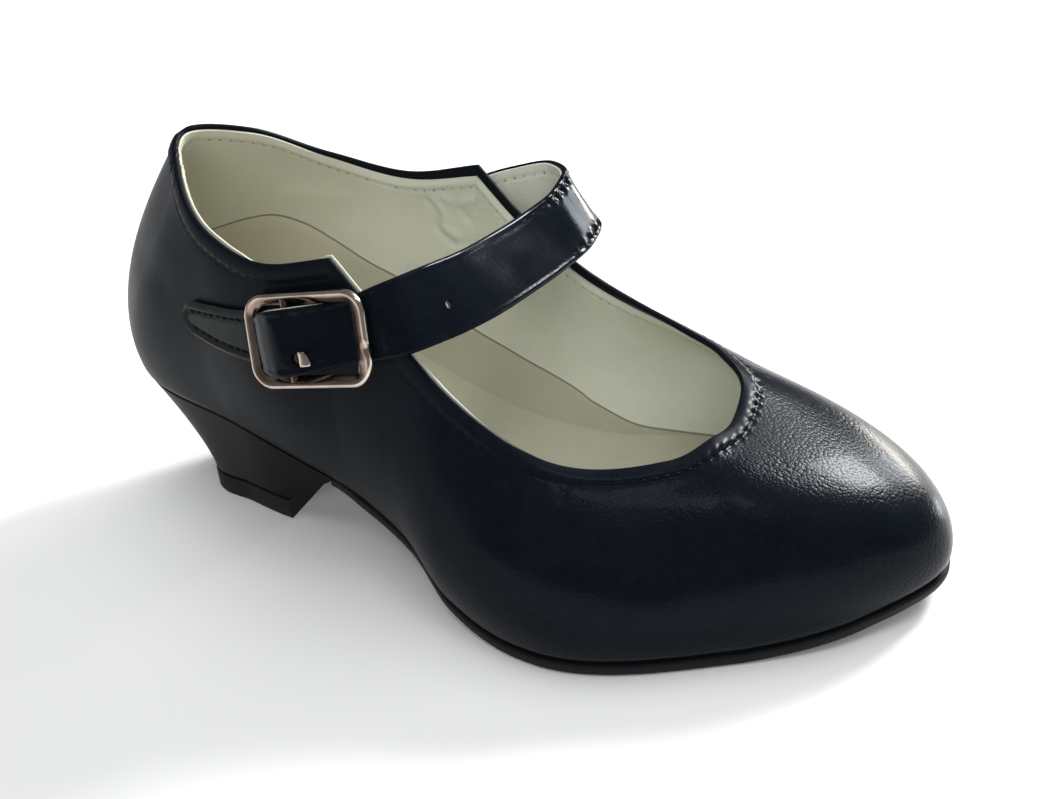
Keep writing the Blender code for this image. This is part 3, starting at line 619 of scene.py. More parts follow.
LEATHER_FINISH = leather_finish(
    "black_leather_grain", pebble=0.6, depth=6.5e-5, gloss=0.14, heel_grain=0.15, heel_haze=0.2)
STRAP_FINISH = leather_finish("strap_leather_grain", pebble=0.7, depth=1.5e-5, gloss=0.07)
# the tab's black is painted lighter: a painted sheen for the light on its puffed edges
TAB_FINISH = leather_finish("tab_leather_grain", pebble=0.7, depth=3e-5, gloss=0.3, dust_and_sheen=0.012)

thread = Finish("black_thread", IOR=1.45, Specular_IOR_Level=0.03)
ply = thread.noise(4200.0, 1.0)
thread.surface(
    Base_Color=thread.mix(ply, colour(0.0035, 0.005, 0.008), colour(0.0065, 0.0085, 0.0125)),
    Roughness=0.3 + 0.2 * ply,
    Normal=thread.relief(ply, 4e-5, 0.6),
)
THREAD_FINISH = thread.material
print("leather and thread are mixed")

# %% [markdown]
# ## The upper
#
# The upper is one skin of leather. Its topline is folded over and sewn down, which makes a plump band
# about three millimetres wide with a row of dimples under it. We lay rows close together near the edge,
# where the fold and the seam are, and wider apart lower down. A few soft creases keep the big surfaces
# from looking like plastic.

# %% Creases
Crease = namedtuple("Crease", "name depth width path")
CREASES = [Crease(*row) for row in (
    ("flex, lateral", -0.16, 1.1, [(6.85, 0.66), (6.92, 0.86)]),
    ("flex, lateral", -0.14, 1.0, [(7.02, 0.62), (7.06, 0.84)]),
    ("flex, lateral", -0.12, 1.0, [(7.2, 0.64), (7.2, 0.86)]),
    ("swell behind the ball", 0.35, 5.5, [(6.6, 0.45), (7.3, 0.5)]),
    ("hollow over the ball", -0.35, 6.0, [(7.6, 0.5), (7.9, 0.85)]),
    ("vamp bend", -0.22, 3.2, [(8.3, 0.55), (8.5, 0.8), (9.2, 0.93)]),
    ("vamp bend, medial", -0.25, 3.0, [(12.2, 0.7), (12.7, 0.55), (13.1, 0.35)]),
    ("quarter pull", -0.12, 4.5, [(2.4, 0.45), (3.0, 0.8)]),
    ("counter edge", 0.1, 4.5, [(2.75, 0.15), (2.55, 0.5), (2.2, 0.85)]),
    ("tab dent", -0.14, 1.2, [(3.2, 0.86), (3.6, 0.83)]),
    ("tab dent", -0.12, 1.0, [(3.5, 0.9), (3.9, 0.86)]),
    ("waist pull, medial", -0.3, 3.5, [(14.4, 0.3), (14.2, 0.75)]),
    ("heel dent", -0.2, 4.0, [(0.6, 0.55), (1.3, 0.6)]),
)]


def distance_to_line(points, line):
    """Shortest distance from each point to a line of straight legs."""
    shortest = np.full(points.shape[:-1], np.inf)
    for start, end in zip(line[:-1], line[1:]):
        leg = end - start
        part = np.clip(np.sum((points - start) * leg, axis=-1) / np.sum(leg * leg), 0.0, 1.0)
        shortest = np.minimum(shortest, np.linalg.norm(points - start - part[..., None] * leg, axis=-1))
    return shortest


def crease_height(points, creases):
    height = np.zeros(points.shape[:-1])
    for crease in creases:
        index, rise = np.array(crease.path).T
        along = np.linspace(0.0, len(index) - 1.0, 9)
        places = np.arange(len(index))
        line = wall(share_at(np.interp(along, places, index)), np.interp(along, places, rise))
        height += crease.depth * bell(distance_to_line(points, line), crease.width)
    return height


# %% Leather skin with its folded topline
UPPER_LINES = WallLines(1000)
LUMPS_AT, LUMPS_REACH, LUMP_DEPTH = 10.0, 8.0, 0.4    # uneven turn of the fold beside the heel's back
NOTCH_DEPTH, NOTCH_WIDTH = 0.65, 1.2    # small dip of the topline at the heel's back
DIP_REACH = 4.5         # how far down notch and lumps pull the leather


def heel_lumps(lines):
    """Where the fold is turned unevenly, on the outer side of the heel's top: from 0 to 1."""
    run = lines.along_edge
    return (0.5 + 0.5 * np.sin(run * 2.1) * np.sin(run * 0.83 + 0.8)) * bell(run - LUMPS_AT, LUMPS_REACH)


def fold_height(lines, below, points):
    """Height of the leather over the wall at distances under the topline, square to the edge."""
    square = below / lines.stretch
    along = lines.along_edge
    pucker = around(column("pucker"), lines.share)
    phase = np.cos(2 * math.pi * along / SEAM_PITCH) * pucker
    slow = np.sin(along * 0.21) * np.sin(along * 0.083 + 1.0)
    scallop = FOLD_WIDTH + 0.14 * phase
    height = FOLD_PROUD * (1.0 - smooth_step(scallop - 0.25, scallop + 0.45, square))
    height += FOLD_PILLOW * np.sin(math.pi * np.clip(square / SEAM_BELOW, 0.0, 1.0)) * (
        1.0 + 0.4 * slow + 1.5 * heel_lumps(lines))
    height -= bell(square - SEAM_BELOW - 0.1, 0.4) * (0.16 + 0.17 * phase)
    height -= bell(square - SEAM_BELOW - 0.75, 0.4) * phase * 0.035 * (1.0 + 0.5 * slow)
    height -= bell(square - SEAM_BELOW + 0.7, 0.4) * phase * 0.03
    height -= 0.5 * bell(np.maximum(lines.tops - below, 0.0), 0.8)
    return height + crease_height(points, CREASES) * smooth_step(1.5, 6.0, square)


def heel_notch(lines, below):
    """How far the topline dips, in a small notch at the back of the heel and in the lumps beside it."""
    run = lines.along_edge
    from_back = np.minimum(run, run[-1] - run)
    depth = NOTCH_DEPTH * bell(from_back, NOTCH_WIDTH) + LUMP_DEPTH * heel_lumps(lines)
    return depth * (1.0 - smooth_step(0.0, DIP_REACH, below))


def make_upper(lines):
    near = np.linspace(0.35, 6.2, 25) * lines.stretch
    reach = near[:, -1:]
    far = reach + (lines.tops - reach) * np.linspace(0.0, 1.0, 42)[1:]
    below = np.hstack([near, far])[:, ::-1]
    points, normals = lines.place(below)
    dip = lines.edge_up[:, None, :] * heel_notch(lines, below)[:, :, None]
    rows = [points + normals * fold_height(lines, below, points)[:, :, None] - dip]
    middle = lines.edge + lines.edge_out * (FOLD_PROUD - RIM_RADIUS)
    middle -= lines.edge_up * (RIM_RADIUS + heel_notch(lines, 0.0))
    for angle in np.radians([10, 40, 70, 100, 130, 160]):
        rim_point = middle + RIM_RADIUS * (lines.edge_out * math.cos(angle) + lines.edge_up * math.sin(angle))
        rows.append(rim_point[:, None, :])
    inside = lines.tops * np.array([[0.03, 0.12, 0.3, 0.55, 0.8, 1.0]])
    points, normals = lines.place(inside)
    rows.append(points - normals * LEATHER)
    rings = np.concatenate(rows, axis=1)
    fold = np.ones(rings.shape[:2])
    fold[:, :below.shape[1]] = 1.0 - smooth_step(2.6, 4.2, below / lines.stretch)
    return ring_piece("upper_leather", rings, LEATHER_FINISH, closed=True, values={"fold": fold}, sharp=60.0)


upper = make_upper(UPPER_LINES)
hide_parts("upper")
print("upper:", len(upper.data.polygons), "faces")

# %% [markdown]
# ## The topline seam
#
# Each stitch is a short piece of black thread, pulled down between two holes. All of them are joined in
# one mesh, because hundreds of small objects would be hard to handle.

# %% Stitches along the fold
seam_line = SEAM_BELOW * UPPER_LINES.stretch
seam_points, seam_normals = UPPER_LINES.place(seam_line)
seam_height = fold_height(UPPER_LINES, seam_line, seam_points)
seam_points = (seam_points + seam_normals * seam_height[:, :, None])[:, 0]
topline_threads = seam_paths(seam_points, seam_normals[:, 0], SEAM_PITCH, arch=-0.08)
topline_seam = tubes("topline_seam", topline_threads, THREAD / 2, THREAD_FINISH)
print("topline seam:", len(topline_seam.data.polygons), "faces")

# %% [markdown]
# ## The lining
#
# Inside the leather lies a thin cream lining. Its cut edge shows as a pale line along the topline, and
# on the inner side it stops short, so that the turned leather shows. A seam runs round the inside where
# the back lining joins the sock. The mesh has a row exactly on that seam, and each point stores its
# distance from the seam and from the edge, which the material uses for needle holes, the dark seam
# line and the browner cloth under it. The cloth is painted darker from the heel to the middle and
# lighter towards the toe, as painted shade and painted light, and deep in the heel a browner patch is
# partly a heel grip and partly painted shade.

# %% Lining finish
NEEDLE_ROW = 2.1        # row of needle holes under the lining's edge
lining_coat = Finish("cream_lining", IOR=1.4, Specular_IOR_Level=0.3)
weave = lining_coat.noise(1500.0, 3.0, 0.6)
blotch = lining_coat.noise(60.0, 4.0, 0.6)
seam_gap = lining_coat.stored("seam_gap")
edge_gap = lining_coat.stored("edge_gap") - NEEDLE_ROW
edge_run = lining_coat.stored("edge_run")
needle = abs((edge_run / SEAM_PITCH).fraction() - 0.5) * SEAM_PITCH
uneven = lining_coat.noise(420.0, 2.0).step(0.25, 0.55)
hole = (1.0 - ((needle ** 2.0 + abs(edge_gap) ** 2.0) ** 0.5).step(0.12, 0.42)) * uneven
groove = 1.0 - abs(edge_gap).step(0.15, 0.7)
seam_dark = 1.0 - abs(seam_gap).step(0.1, 0.32)
under = 1.0 - seam_gap.step(-0.1, 0.1)
# browner patch further back and lower in the heel: partly a heel grip cloth, partly painted shade
heel_grip_and_shade = 1.0 - (lining_coat.axis("X") - 0.45 * lining_coat.axis("Z") + 0.008 * blotch).step(-0.069, -0.055)
blotched = blotch.step(0.3, 0.75)
# cloth from the heel to the middle is painted darker (painted shade), towards the toe lighter (painted light)
painted_shade_cloth, painted_light_cloth, board = [
    lining_coat.mix(blotched, colour(*dark), colour(*light)) for dark, light in (
        ((0.505, 0.515, 0.432), (0.552, 0.562, 0.474)), ((0.6, 0.612, 0.522), (0.655, 0.667, 0.572)),
        ((0.385, 0.375, 0.295), (0.43, 0.42, 0.33)))
]
# painted shade at the heel and middle, painted light towards the toe
cloth = lining_coat.mix(lining_coat.axis("X").step(-0.02, 0.025), painted_shade_cloth, painted_light_cloth)
cream = lining_coat.mix(under, cloth, board)
cream = lining_coat.mix(heel_grip_and_shade * (0.55 + 0.35 * under), cream, colour(0.485, 0.46, 0.355))
cream = lining_coat.mix((seam_dark * 0.7).highest(hole * 0.6), cream, colour(0.09, 0.075, 0.055))
lining_coat.surface(
    Base_Color=cream,
    Roughness=0.7 + 0.2 * weave,
    Normal=lining_coat.relief(
        (0.55 - 0.4 * under) * weave - 0.5 * hole - 0.35 * groove - 0.6 * seam_dark, 2.5e-4, 0.7),
)
LINING_FINISH = lining_coat.material
print("lining is mixed")

# %% Lining mesh
LINING_CREASES = [Crease(*row) for row in (
    ("patch edge", -0.45, 0.8, [(16.75, 0.87), (16.6, 0.8), (16.62, 0.72), (16.35, 0.66)]),
    ("patch edge", 0.4, 0.8, [(16.66, 0.87), (16.5, 0.8), (16.5, 0.73), (16.3, 0.69)]),
    ("patch fold", 0.4, 0.9, [(16.5, 0.88), (16.3, 0.84), (16.05, 0.86)]),
    ("patch fold", -0.35, 0.8, [(16.35, 0.85), (16.1, 0.76)]),
    ("patch seam", -0.3, 0.6, [(16.35, 0.66), (15.7, 0.66)]),
    ("heel pocket", 0.25, 2.5, [(18.6, 0.7), (17.9, 0.8)]),
)]
LINING_LINES = WallLines(900)


def make_lining(lines):
    top = np.interp(lines.index, *LINING_TOP.T)[:, None] + 0.7 * heel_lumps(lines)
    from_heel = np.minimum(lines.index, COUNT - lines.index)
    seam = smooth_curve(LINING_SEAM[:, 0], LINING_SEAM[:, 1:], from_heel)
    low_part = 1.4 + (seam - 1.4) * np.linspace(0.0, 1.0, 12)
    high_part = seam + (lines.tops - top - seam) * np.linspace(0.0, 1.0, 46)[1:]
    inner = lines.tops - np.hstack([low_part, high_part])
    outer = inner[:, ::-8]
    points, normals = lines.place(inner)
    wrinkle = crease_height(points, LINING_CREASES)
    pucker = bell(inner - top - NEEDLE_ROW, 0.5) * 0.14
    plump = bell(inner - top - 1.0, 0.7) * 0.2
    overlap = 0.2 * (1.0 - smooth_step(-0.1, 0.25, lines.tops - inner - seam))
    skived = 0.6 * (1.0 - smooth_step(0.0, 1.8, inner - top))
    inside = points - normals * (WALL - skived - pucker + plump + wrinkle + overlap)[:, :, None]
    back_points, back_normals = lines.place(outer)
    outside = back_points - back_normals * LINING_OUT
    rings = np.concatenate([inside, outside], axis=1)
    run = np.hstack([inner, outer])
    values = {
        "seam_gap": lines.tops - run - seam,
        "edge_gap": run - top,
        "edge_run": np.broadcast_to(lines.along_edge, run.shape),
    }
    return ring_piece("lining", rings, LINING_FINISH, closed=True, values=values, sharp=50.0)


lining = make_lining(LINING_LINES)
print("lining:", len(lining.data.polygons), "faces")


# %% [markdown]
# ## Sole, heel and lift
#
# Under the upper lie three hard pieces: a thin sole up to the breast of the heel, a block heel, and the
# lift that it stands on. Each is a row of slices across the shoe. A slice is drawn from the middle of
# its underside out to the edge, up the edge and back over the top, on both sides.

# %% Slices across the shoe
def rung(index, inset):
    """Feather line points of one slice, lateral and medial."""
    return feather(share_at(np.array([index, COUNT - index])), inset)


def rung_ring(levels, parts=(0.15, 0.45, 0.75, 0.92, 1.0)):
    """Ring through the levels of a slice. A level is a pair of edge points and a height for them."""
    half = [(levels[0], part) for part in parts]
    half += [(level, 1.0) for level in levels[1:-1]]
    half += [(levels[-1], part) for part in reversed(parts)]
    ring = []
    for sign, rows in ((1, half), (-1, reversed(half))):
        for (pair, height), part in rows:
            point = pair[0] * (1 - sign * part) / 2 + pair[1] * (1 + sign * part) / 2
            point[2] = height(point)
            ring.append(point)
    return ring


def above_tread(rise):
    return lambda point: profile(point[:1])[0] - TREAD + rise


def level(height):
    return lambda point: height


# %% Sole, heel and lift
SOLE_TOP = 2.4          # top of sole and heel over the tread line
HEEL_INSET = 0.5
HEEL_BEVEL = 0.3
LIFT_HEIGHT = 5.0
FOOT_BACK = 16.5        # back of the heel's foot, from the back of the last
FOOT_LENGTH, FOOT_WIDTH = 0.48, 0.86    # of the heel's foot, as shares of its seat
TIP = 0.002             # how near the middle line the end slices lie, in rows
HEEL_BREAST = BREAST_INDEX - 0.03


def heel_foot(pair):
    """Where the heel's foot stands under a slice of its seat."""
    back = feather(np.array([0.0]))[0]
    foot = pair.copy()
    foot[:, 0] = FOOT_BACK + (pair[:, 0] - back[0]) * FOOT_LENGTH
    foot[:, 1] = pair[:, 1] * FOOT_WIDTH
    return foot


def make_outsole():
    outline = [
        (0.75, 0.0), (0.3, 0.1), (-0.05, 0.4), (-0.2, 0.85), (-0.2, 1.5), (-0.2, 1.95), (0.0, 2.25),
        (0.35, SOLE_TOP),
    ]
    rings = []
    for index in np.linspace(BREAST_INDEX - 0.08, TOE_INDEX - TIP, 150):
        tuck = 0.7 * (1.0 - smooth_step(0.0, 0.5, index - BREAST_INDEX))
        rings.append(rung_ring([(rung(index, inset + tuck), above_tread(rise)) for inset, rise in outline]))
    return ring_piece("outsole_edge", rings, SOLE_FINISH)


def make_heel():
    rings = []
    for index in np.linspace(TIP, HEEL_BREAST, 90):
        seat = rung(index, HEEL_INSET)
        foot = heel_foot(seat)
        flare = 1.4 - 0.4 * (index / HEEL_BREAST) ** 2
        rim_line = rung(index, HEEL_INSET + HEEL_BEVEL)
        top = above_tread(SOLE_TOP)(seat[0])
        levels = [(heel_foot(rim_line), level(LIFT_HEIGHT))]
        for step in np.linspace(0.0, 1.0, 15)[:-1]:
            height = LIFT_HEIGHT + 0.25 + (top - 0.5 - LIFT_HEIGHT) * step
            levels.append((foot + (seat - foot) * step ** flare, level(height)))
        levels += [(seat, above_tread(SOLE_TOP - 0.25)), (rim_line, above_tread(SOLE_TOP))]
        rings.append(rung_ring(levels))
    return ring_piece("heel_block", rings, HEEL_FINISH)


def make_lift():
    outline = [(0.35, 0.0), (0.0, 0.15), (-0.2, 0.5), (-0.2, 4.3), (-0.05, 4.6), (0.2, 4.7)]
    rings = []
    for index in np.linspace(TIP, HEEL_BREAST, 90):
        rings.append(rung_ring([
            (heel_foot(rung(index, HEEL_INSET + inset)), level(height)) for inset, height in outline
        ]))
    return ring_piece("heel_top_piece", rings, SOLE_FINISH)


# %% Sole and heel finishes and meshes
sole_coat = Finish("black_sole_edge", IOR=1.5, Specular_IOR_Level=0.15)
dust_and_sheen = sole_coat.noise(240.0, 5.0, 0.65)
speck = sole_coat.noise(3000.0, 2.0)
worn = (1.0 - sole_coat.axis("Z").step(0.0002, 0.002)) * dust_and_sheen.step(0.35, 0.7)
sole_coat.surface(
    Base_Color=sole_coat.mix(
        (0.5 * worn).highest(0.35 * dust_and_sheen), colour(0.0045, 0.005, 0.0056), colour(0.03, 0.03, 0.03)),
    Roughness=0.42 + 0.25 * dust_and_sheen,
    Normal=sole_coat.relief(0.6 * speck + 0.4 * dust_and_sheen, 5e-5, 0.5),
)
SOLE_FINISH = sole_coat.material

heel_coat = Finish("heel_lacquer", IOR=1.5, Specular_IOR_Level=0.06)
haze = heel_coat.noise(150.0, 4.0, 0.6)
layers = heel_coat.noise(60.0, 3.0, 0.5, heel_coat.place((0.3, 0.3, 9.0)))
# back of the heel painted lighter, a painted reflection of the pale floor, fading out towards the breast
front_without_painted_sheen = heel_coat.axis("X").step(-0.066, -0.042)
heel_coat.surface(
    Base_Color=heel_coat.mix(
        (1.0 - front_without_painted_sheen) * (0.4 + 0.4 * haze + 0.2 * layers),
        colour(0.0035, 0.0042, 0.0046), colour(0.039, 0.041, 0.037)),
    Roughness=0.36 + 0.16 * haze,
    Normal=heel_coat.relief(0.5 * layers + 0.5 * heel_coat.noise(1800.0, 2.0), 4e-5, 0.5),
)
HEEL_FINISH = heel_coat.material

for piece, node, slot in (
    (make_outsole(), "outsole", "black_sole"),
    (make_heel(), "heel", "heel_finish"),
    (make_lift(), "heel_lift", "black_sole"),
):
    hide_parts(node)
    print(piece.name, len(piece.data.polygons), "faces")

# %% [markdown]
# ## The sock
#
# The foot stands on a cream sock that curves up into the walls. Each slice starts on one wall, bends
# down through the corner, crosses the floor and climbs the other wall, so the sock and the lower part
# of the lining run into each other. It has the lining's finish, and stores values far from its seams.

# %% Sock
SOCK_RISE = 1.8
SOCK_CLIMB, SOCK_DROP = 7.5, 4.0    # up the wall at the heel, and how much less in front
SOCK_THICK = 1.5
SOCK_BEND = 8.0         # reach of the bend between wall and floor
FAR = 9.0               # stored distance, in mm, from a seam or an edge that isn't there


def make_sock(lines):
    climb = SOCK_CLIMB - SOCK_DROP * smooth_step(0.2, 0.6, feather(lines.share)[:, :1] / LENGTH)
    points, normals = lattice(lines.share, lines.rises(climb))
    high = points[:, 0] - normals[:, 0] * (WALL + 0.17)
    corner = feather(lines.share, WALL + 0.2)
    floor = feather(lines.share, WALL + SOCK_BEND)
    corner[:, 2] += SOCK_RISE
    floor[:, 2] += SOCK_RISE
    part = np.linspace(0.0, 1.0, 10)[:, None]
    count = len(lines.share)
    for line in (high, corner, floor):
        line[[1, -1]] = 0.95 * line[0] + 0.05 * line[[1, -1]]    # the back slice is almost closed
    rings = []
    for k in range(1, count // 2 - 2, 3):
        bends = [
            high[i] * (1 - part) ** 2 + corner[i] * 2 * part * (1 - part) + floor[i] * part ** 2
            for i in (k, count - k)
        ]
        across = floor[k] + (floor[count - k] - floor[k]) * np.linspace(0.0, 1.0, 10)[1:-1, None]
        across[:, 2] = profile(across[:, 0]) + SOCK_RISE
        over = np.concatenate([bends[0], across, bends[1][::-1]])
        under = over[::-1].copy()
        under[:, 2] = np.maximum(under[:, 2] - SOCK_THICK, profile(under[:, 0]) + 0.05)
        rings.append(np.concatenate([over, under]))
    size = len(rings) * len(rings[0])
    values = {"seam_gap": np.full(size, -FAR), "edge_gap": np.full(size, FAR), "edge_run": np.zeros(size)}
    return ring_piece("sock", rings, LINING_FINISH, values=values)


sock = make_sock(LINING_LINES)
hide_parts("insole")
print("sock:", len(sock.data.polygons), "faces")


# %% [markdown]
# ## Where the buckle sits
#
# The buckle lies on the outer quarter, a little pitched and leaned. Its middle and its three directions
# are found once, and strap, frame, bar, prong and tab are all placed from them.

# %% Buckle directions
BUCKLE_ALONG, BUCKLE_RISE = 64.8, 53.3
BUCKLE_PITCH = math.radians(12.0)
BUCKLE_LEAN = math.radians(15.5)
BUCKLE_LENGTH, BUCKLE_HEIGHT, BUCKLE_CORNER = 25.1, 16.9, 4.2
WIRE_WIDTH = 2.2
FRAME_CROWN = 0.85      # highest line of the frame's section
FRAME_STAND_OFF, FRAME_TILT = 4.35, 0.1
BAR_PLACE, BAR_DIAMETER, BAR_STAND_OFF = -3.9, 1.6, 3.85
PRONG_PLACE, PRONG_DIAMETER, HOLE_AHEAD = -2.7, 1.1, 3.4
TAB_THICKNESS = 0.9
NICK = (11.4, -1.7)     # small dent in the frame's front bar


@lru_cache(maxsize=None)
def buckle_axes():
    """Foot of the buckle's middle on the wall, and its directions along, up and out."""
    foot = on_wall(-1, BUCKLE_ALONG, BUCKLE_RISE, 0.0)[0]
    normals = [
        on_wall(-1, BUCKLE_ALONG + along * BUCKLE_LENGTH / 4, BUCKLE_RISE + up * BUCKLE_HEIGHT / 4, 0.0)[1]
        for along in (-1, 1) for up in (-1, 1)
    ]
    out = unit(unit(sum(normals)) + np.array([0.0, 0.0, math.tan(BUCKLE_LEAN)]))
    along = np.array([math.cos(BUCKLE_PITCH), 0.0, math.sin(BUCKLE_PITCH)])
    along = unit(along - out * np.dot(along, out))
    return foot, along, np.cross(out, along), out


def buckle_place(along, up, off):
    foot, along_axis, up_axis, out = buckle_axes()
    return foot + along_axis * along + up_axis * up + out * off


print("buckle's middle:", buckle_place(0.0, 0.0, FRAME_STAND_OFF).round(1), "mm")


# %% [markdown]
# ## The strap
#
# The strap comes out of the seam on the inner quarter, turns round the topline, crosses the instep and
# runs through the buckle. It is a leather strip with puffed edges and a seam along each, which gathers
# the leather where the strap bends. A cream lining backs it up to the sewn end. Rows of places with a
# width and a lean carry a cross-section along the way.

# %% Strap path
StrapRow = namedtuple("StrapRow", "name kind along across rise lean width")
STRAP_ROWS = [StrapRow(*row) for row in (
    ("tip", "buckle", -9.2, -0.3, 4.1, None, 10.4),
    ("fall", "buckle", -7.1, -0.2, 5.65, None, 11.4),
    ("over the bar", "buckle", -3.7, 0.0, 7.15, None, 11.8),
    ("past the bar", "buckle", -0.3, 0.2, 6.2, None, 11.6),
    ("window", "buckle", 4.5, 0.5, 3.7, None, 11.3),
    ("under the frame", "buckle", 11.0, 1.5, 3.2, None, 11.9),
    ("quarter's edge", "buckle", 15.8, 2.4, 3.5, None, 12.8),
    ("lateral bend", "free", 84.2, -20.0, 59.2, 32.0, 13.4),
    ("lateral span", "free", 87.0, -10.0, 58.0, 38.0, 13.4),
    ("middle", "free", 88.6, 2.0, 56.6, 42.0, 13.4),
    ("medial span", "free", 90.2, 14.0, 55.8, 42.0, 13.4),
    ("medial bend", "free", 91.4, 25.0, 56.0, 38.0, 13.4),
    ("turn", "free", 89.6, 32.6, 56.4, 34.0, 13.4),
    ("turned", "free", 84.0, 35.6, 55.8, 30.0, 13.4),
    ("return", "free", 76.5, 33.6, 54.4, 24.0, 13.4),
    ("sewn line", "wall", 68.5, 1.2, 53.0, None, 13.4),
    ("sewn end", "wall", 57.5, 0.75, 50.2, None, 13.4),
)]


def strap_row_place(row):
    if row.kind == "buckle":
        return buckle_place(row.along, row.across, row.rise), buckle_axes()[3]
    if row.kind == "wall":
        return on_wall(1, row.along, row.rise, row.across)
    return np.array([row.along, row.across, row.rise]), None


def strap_frames(steps):
    """Middle line of the strap, and at each place its width direction, outward direction and width."""
    places = [strap_row_place(row) for row in STRAP_ROWS]
    centres = np.array([place for place, out in places])
    widths = np.array([[row.width] for row in STRAP_ROWS])
    runs = unit(np.gradient(centres, axis=0))
    leans = []
    for row, run, (place, out) in zip(STRAP_ROWS, runs, places):
        if out is None:
            angle = math.radians(row.lean)
            leans.append(np.array([math.sin(angle), 0.0, -math.cos(angle)]))
        else:
            leans.append(np.cross(run, out))
    knots = tape(centres)
    at = np.linspace(0.0, knots[-1], steps + 1)
    middle = smooth_curve(knots, centres, at)
    run = unit(np.gradient(middle, axis=0))
    lean = smooth_curve(knots, unit(np.array(leans)), at)
    lean = unit(lean - run * np.sum(lean * run, axis=1, keepdims=True))
    return at, middle, lean, np.cross(lean, run), smooth_curve(knots, widths, at)[:, 0]


# %% Strap sections
STRAP_SEAM_IN = 1.35    # strap seams from its edges
STRAP_OUT = 0.9
STRAP_BACK = -0.35
STRAP_PITCH = 3.2       # length of a strap stitch with its hole
SEWN_LENGTH = 11.0      # end of the strap that is sewn on the inner quarter, without lining
MEDIAL_BEND = 84.0      # sharpest bend of the strap, from its tip
BAR_BEND = 9.5          # bend of the strap over the buckle's bar, from its tip
IN_BUCKLE = (4.0, 17.0)    # stretch of the strap that shows in the buckle, from its tip
THREADS_FROM = MEDIAL_BEND - 18.0    # between the buckle and here the threads lie sunk in the leather
CROSS_SEAMS = (1.5, SEWN_LENGTH - 1.0)    # seams across the strap, from its sewn end
SHORT_PITCH = 1.9       # stitches of those seams and of the tab's
PRONG_HOLE, PUNCHED_HOLE = 2.6, 1.9
FREE_HOLE = 38.2        # punched hole that the prong doesn't use, from the strap's tip
HOLE_UP = 1.1           # of that hole, from the strap's middle line


def strap_face(across, half, at):
    """Height of the strap's outer face at distances across it, at a place along it."""
    from_edge = half - np.abs(across)
    gather = 1.5 * bell(at - MEDIAL_BEND, 7.0) + 0.9 * bell(at - BAR_BEND, 4.5)
    phase = math.cos(2 * math.pi * at / STRAP_PITCH) * gather
    height = STRAP_OUT - 0.1 + 0.08 * bell(from_edge - 0.65, 0.45) + 0.06 * bell(across, 2.5)
    height = height - bell(from_edge - STRAP_SEAM_IN, 0.4) * (0.05 + 0.12 * gather + 0.2 * phase)
    height = height - bell(from_edge - STRAP_SEAM_IN - 0.8, 0.5) * 0.09 * phase
    return height - 0.05 * math.sin(at * 0.37) * math.sin(at * 0.11 + 0.6) * bell(across - 1.5, 2.5)


def strap_section(at, width):
    half = width / 2
    edge = half - 0.45
    over = np.linspace(edge, -edge, 33)
    section = [(part * edge, STRAP_BACK) for part in (-1.0, -0.5, 0.0, 0.5, 1.0)]
    section += [(half - 0.1, STRAP_BACK + 0.18), (half, 0.25), (half - 0.12, 0.62)]
    section += list(zip(over, strap_face(over, half, at)))
    return section + [(-half + 0.12, 0.62), (-half, 0.25), (-half + 0.1, STRAP_BACK + 0.18)]


def lining_section(at, width):
    half = width / 2 - 0.35
    upper = half + 0.45 * (1.0 - smooth_step(13.0, 18.0, at))
    return [(-upper, -0.42), (half, -0.42), (half, -0.78), (half - 0.2, -0.9), (0.0, -0.9),
            (-upper + 0.2, -0.9), (-upper, -0.78)]


def make_strap_lining(at, middle, lean, out, width):
    sections = list(map(lining_section, at, width))
    run = np.repeat(at, len(sections[0]))
    values = {
        "seam_gap": np.full(len(run), FAR),
        "edge_gap": np.tile([0.0, 0.0, 0.2, 0.5, 6.0, 0.5, 0.2], len(at)),
        "edge_run": run,
    }
    return sweep("strap_lining", sections, middle, lean, out, LINING_FINISH, values=values)


# %% Strap pieces
at, middle, lean, out, width = strap_frames(420)
strap = sweep("strap_leather", map(strap_section, at, width), middle, lean, out, STRAP_FINISH, sharp=60.0)
backed = at < at[-1] - SEWN_LENGTH
strap_lining = make_strap_lining(*[rows[backed][::3] for rows in (at, middle, lean, out, width)])
spot = np.argmin(abs(at - FREE_HOLE))
hole_middle = middle[spot] + lean[spot] * HOLE_UP
prong_line = [buckle_place(BAR_PLACE + HOLE_AHEAD, PRONG_PLACE, off) for off in (0.0, 10.0)]
free_line = [hole_middle + out[spot] * off for off in (-3, 3)]
for target in (strap, strap_lining):
    cut(target, rod("prong_hole", *prong_line, PRONG_HOLE, STRAP_FINISH))
    cut(target, rod("free_hole", *free_line, PUNCHED_HOLE, STRAP_FINISH))
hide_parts("strap")
print("strap:", len(strap.data.polygons), "faces")

# %% Strap seams
bent = at > THREADS_FROM
pressed = (at > IN_BUCKLE[0]) & (at < IN_BUCKLE[1])
strap_threads = []
for side in (-1, 1):
    across = side * (width / 2 - STRAP_SEAM_IN)
    heights = np.array([strap_face(across[i], width[i] / 2, at[i]) for i in range(len(at))])
    line = middle + lean * across[:, None] + out * heights[:, None]
    for part in (bent, pressed):
        strap_threads += seam_paths(line[part], out[part], STRAP_PITCH, arch=0.0, sink=0.4)
for from_end in CROSS_SEAMS:
    i = np.argmin(abs(at - at[-1] + from_end))
    half = width[i] / 2
    over = np.linspace(STRAP_SEAM_IN - half, half - STRAP_SEAM_IN, 40)
    line = middle[i] + lean[i] * over[:, None] + out[i] * strap_face(over, half, at[i])[:, None]
    strap_threads += seam_paths(line, np.tile(out[i], (len(over), 1)), SHORT_PITCH, arch=0.02)
strap_seam = tubes("strap_seam", strap_threads, THREAD / 2, THREAD_FINISH)
print("strap seam:", len(strap_seam.data.polygons), "faces")
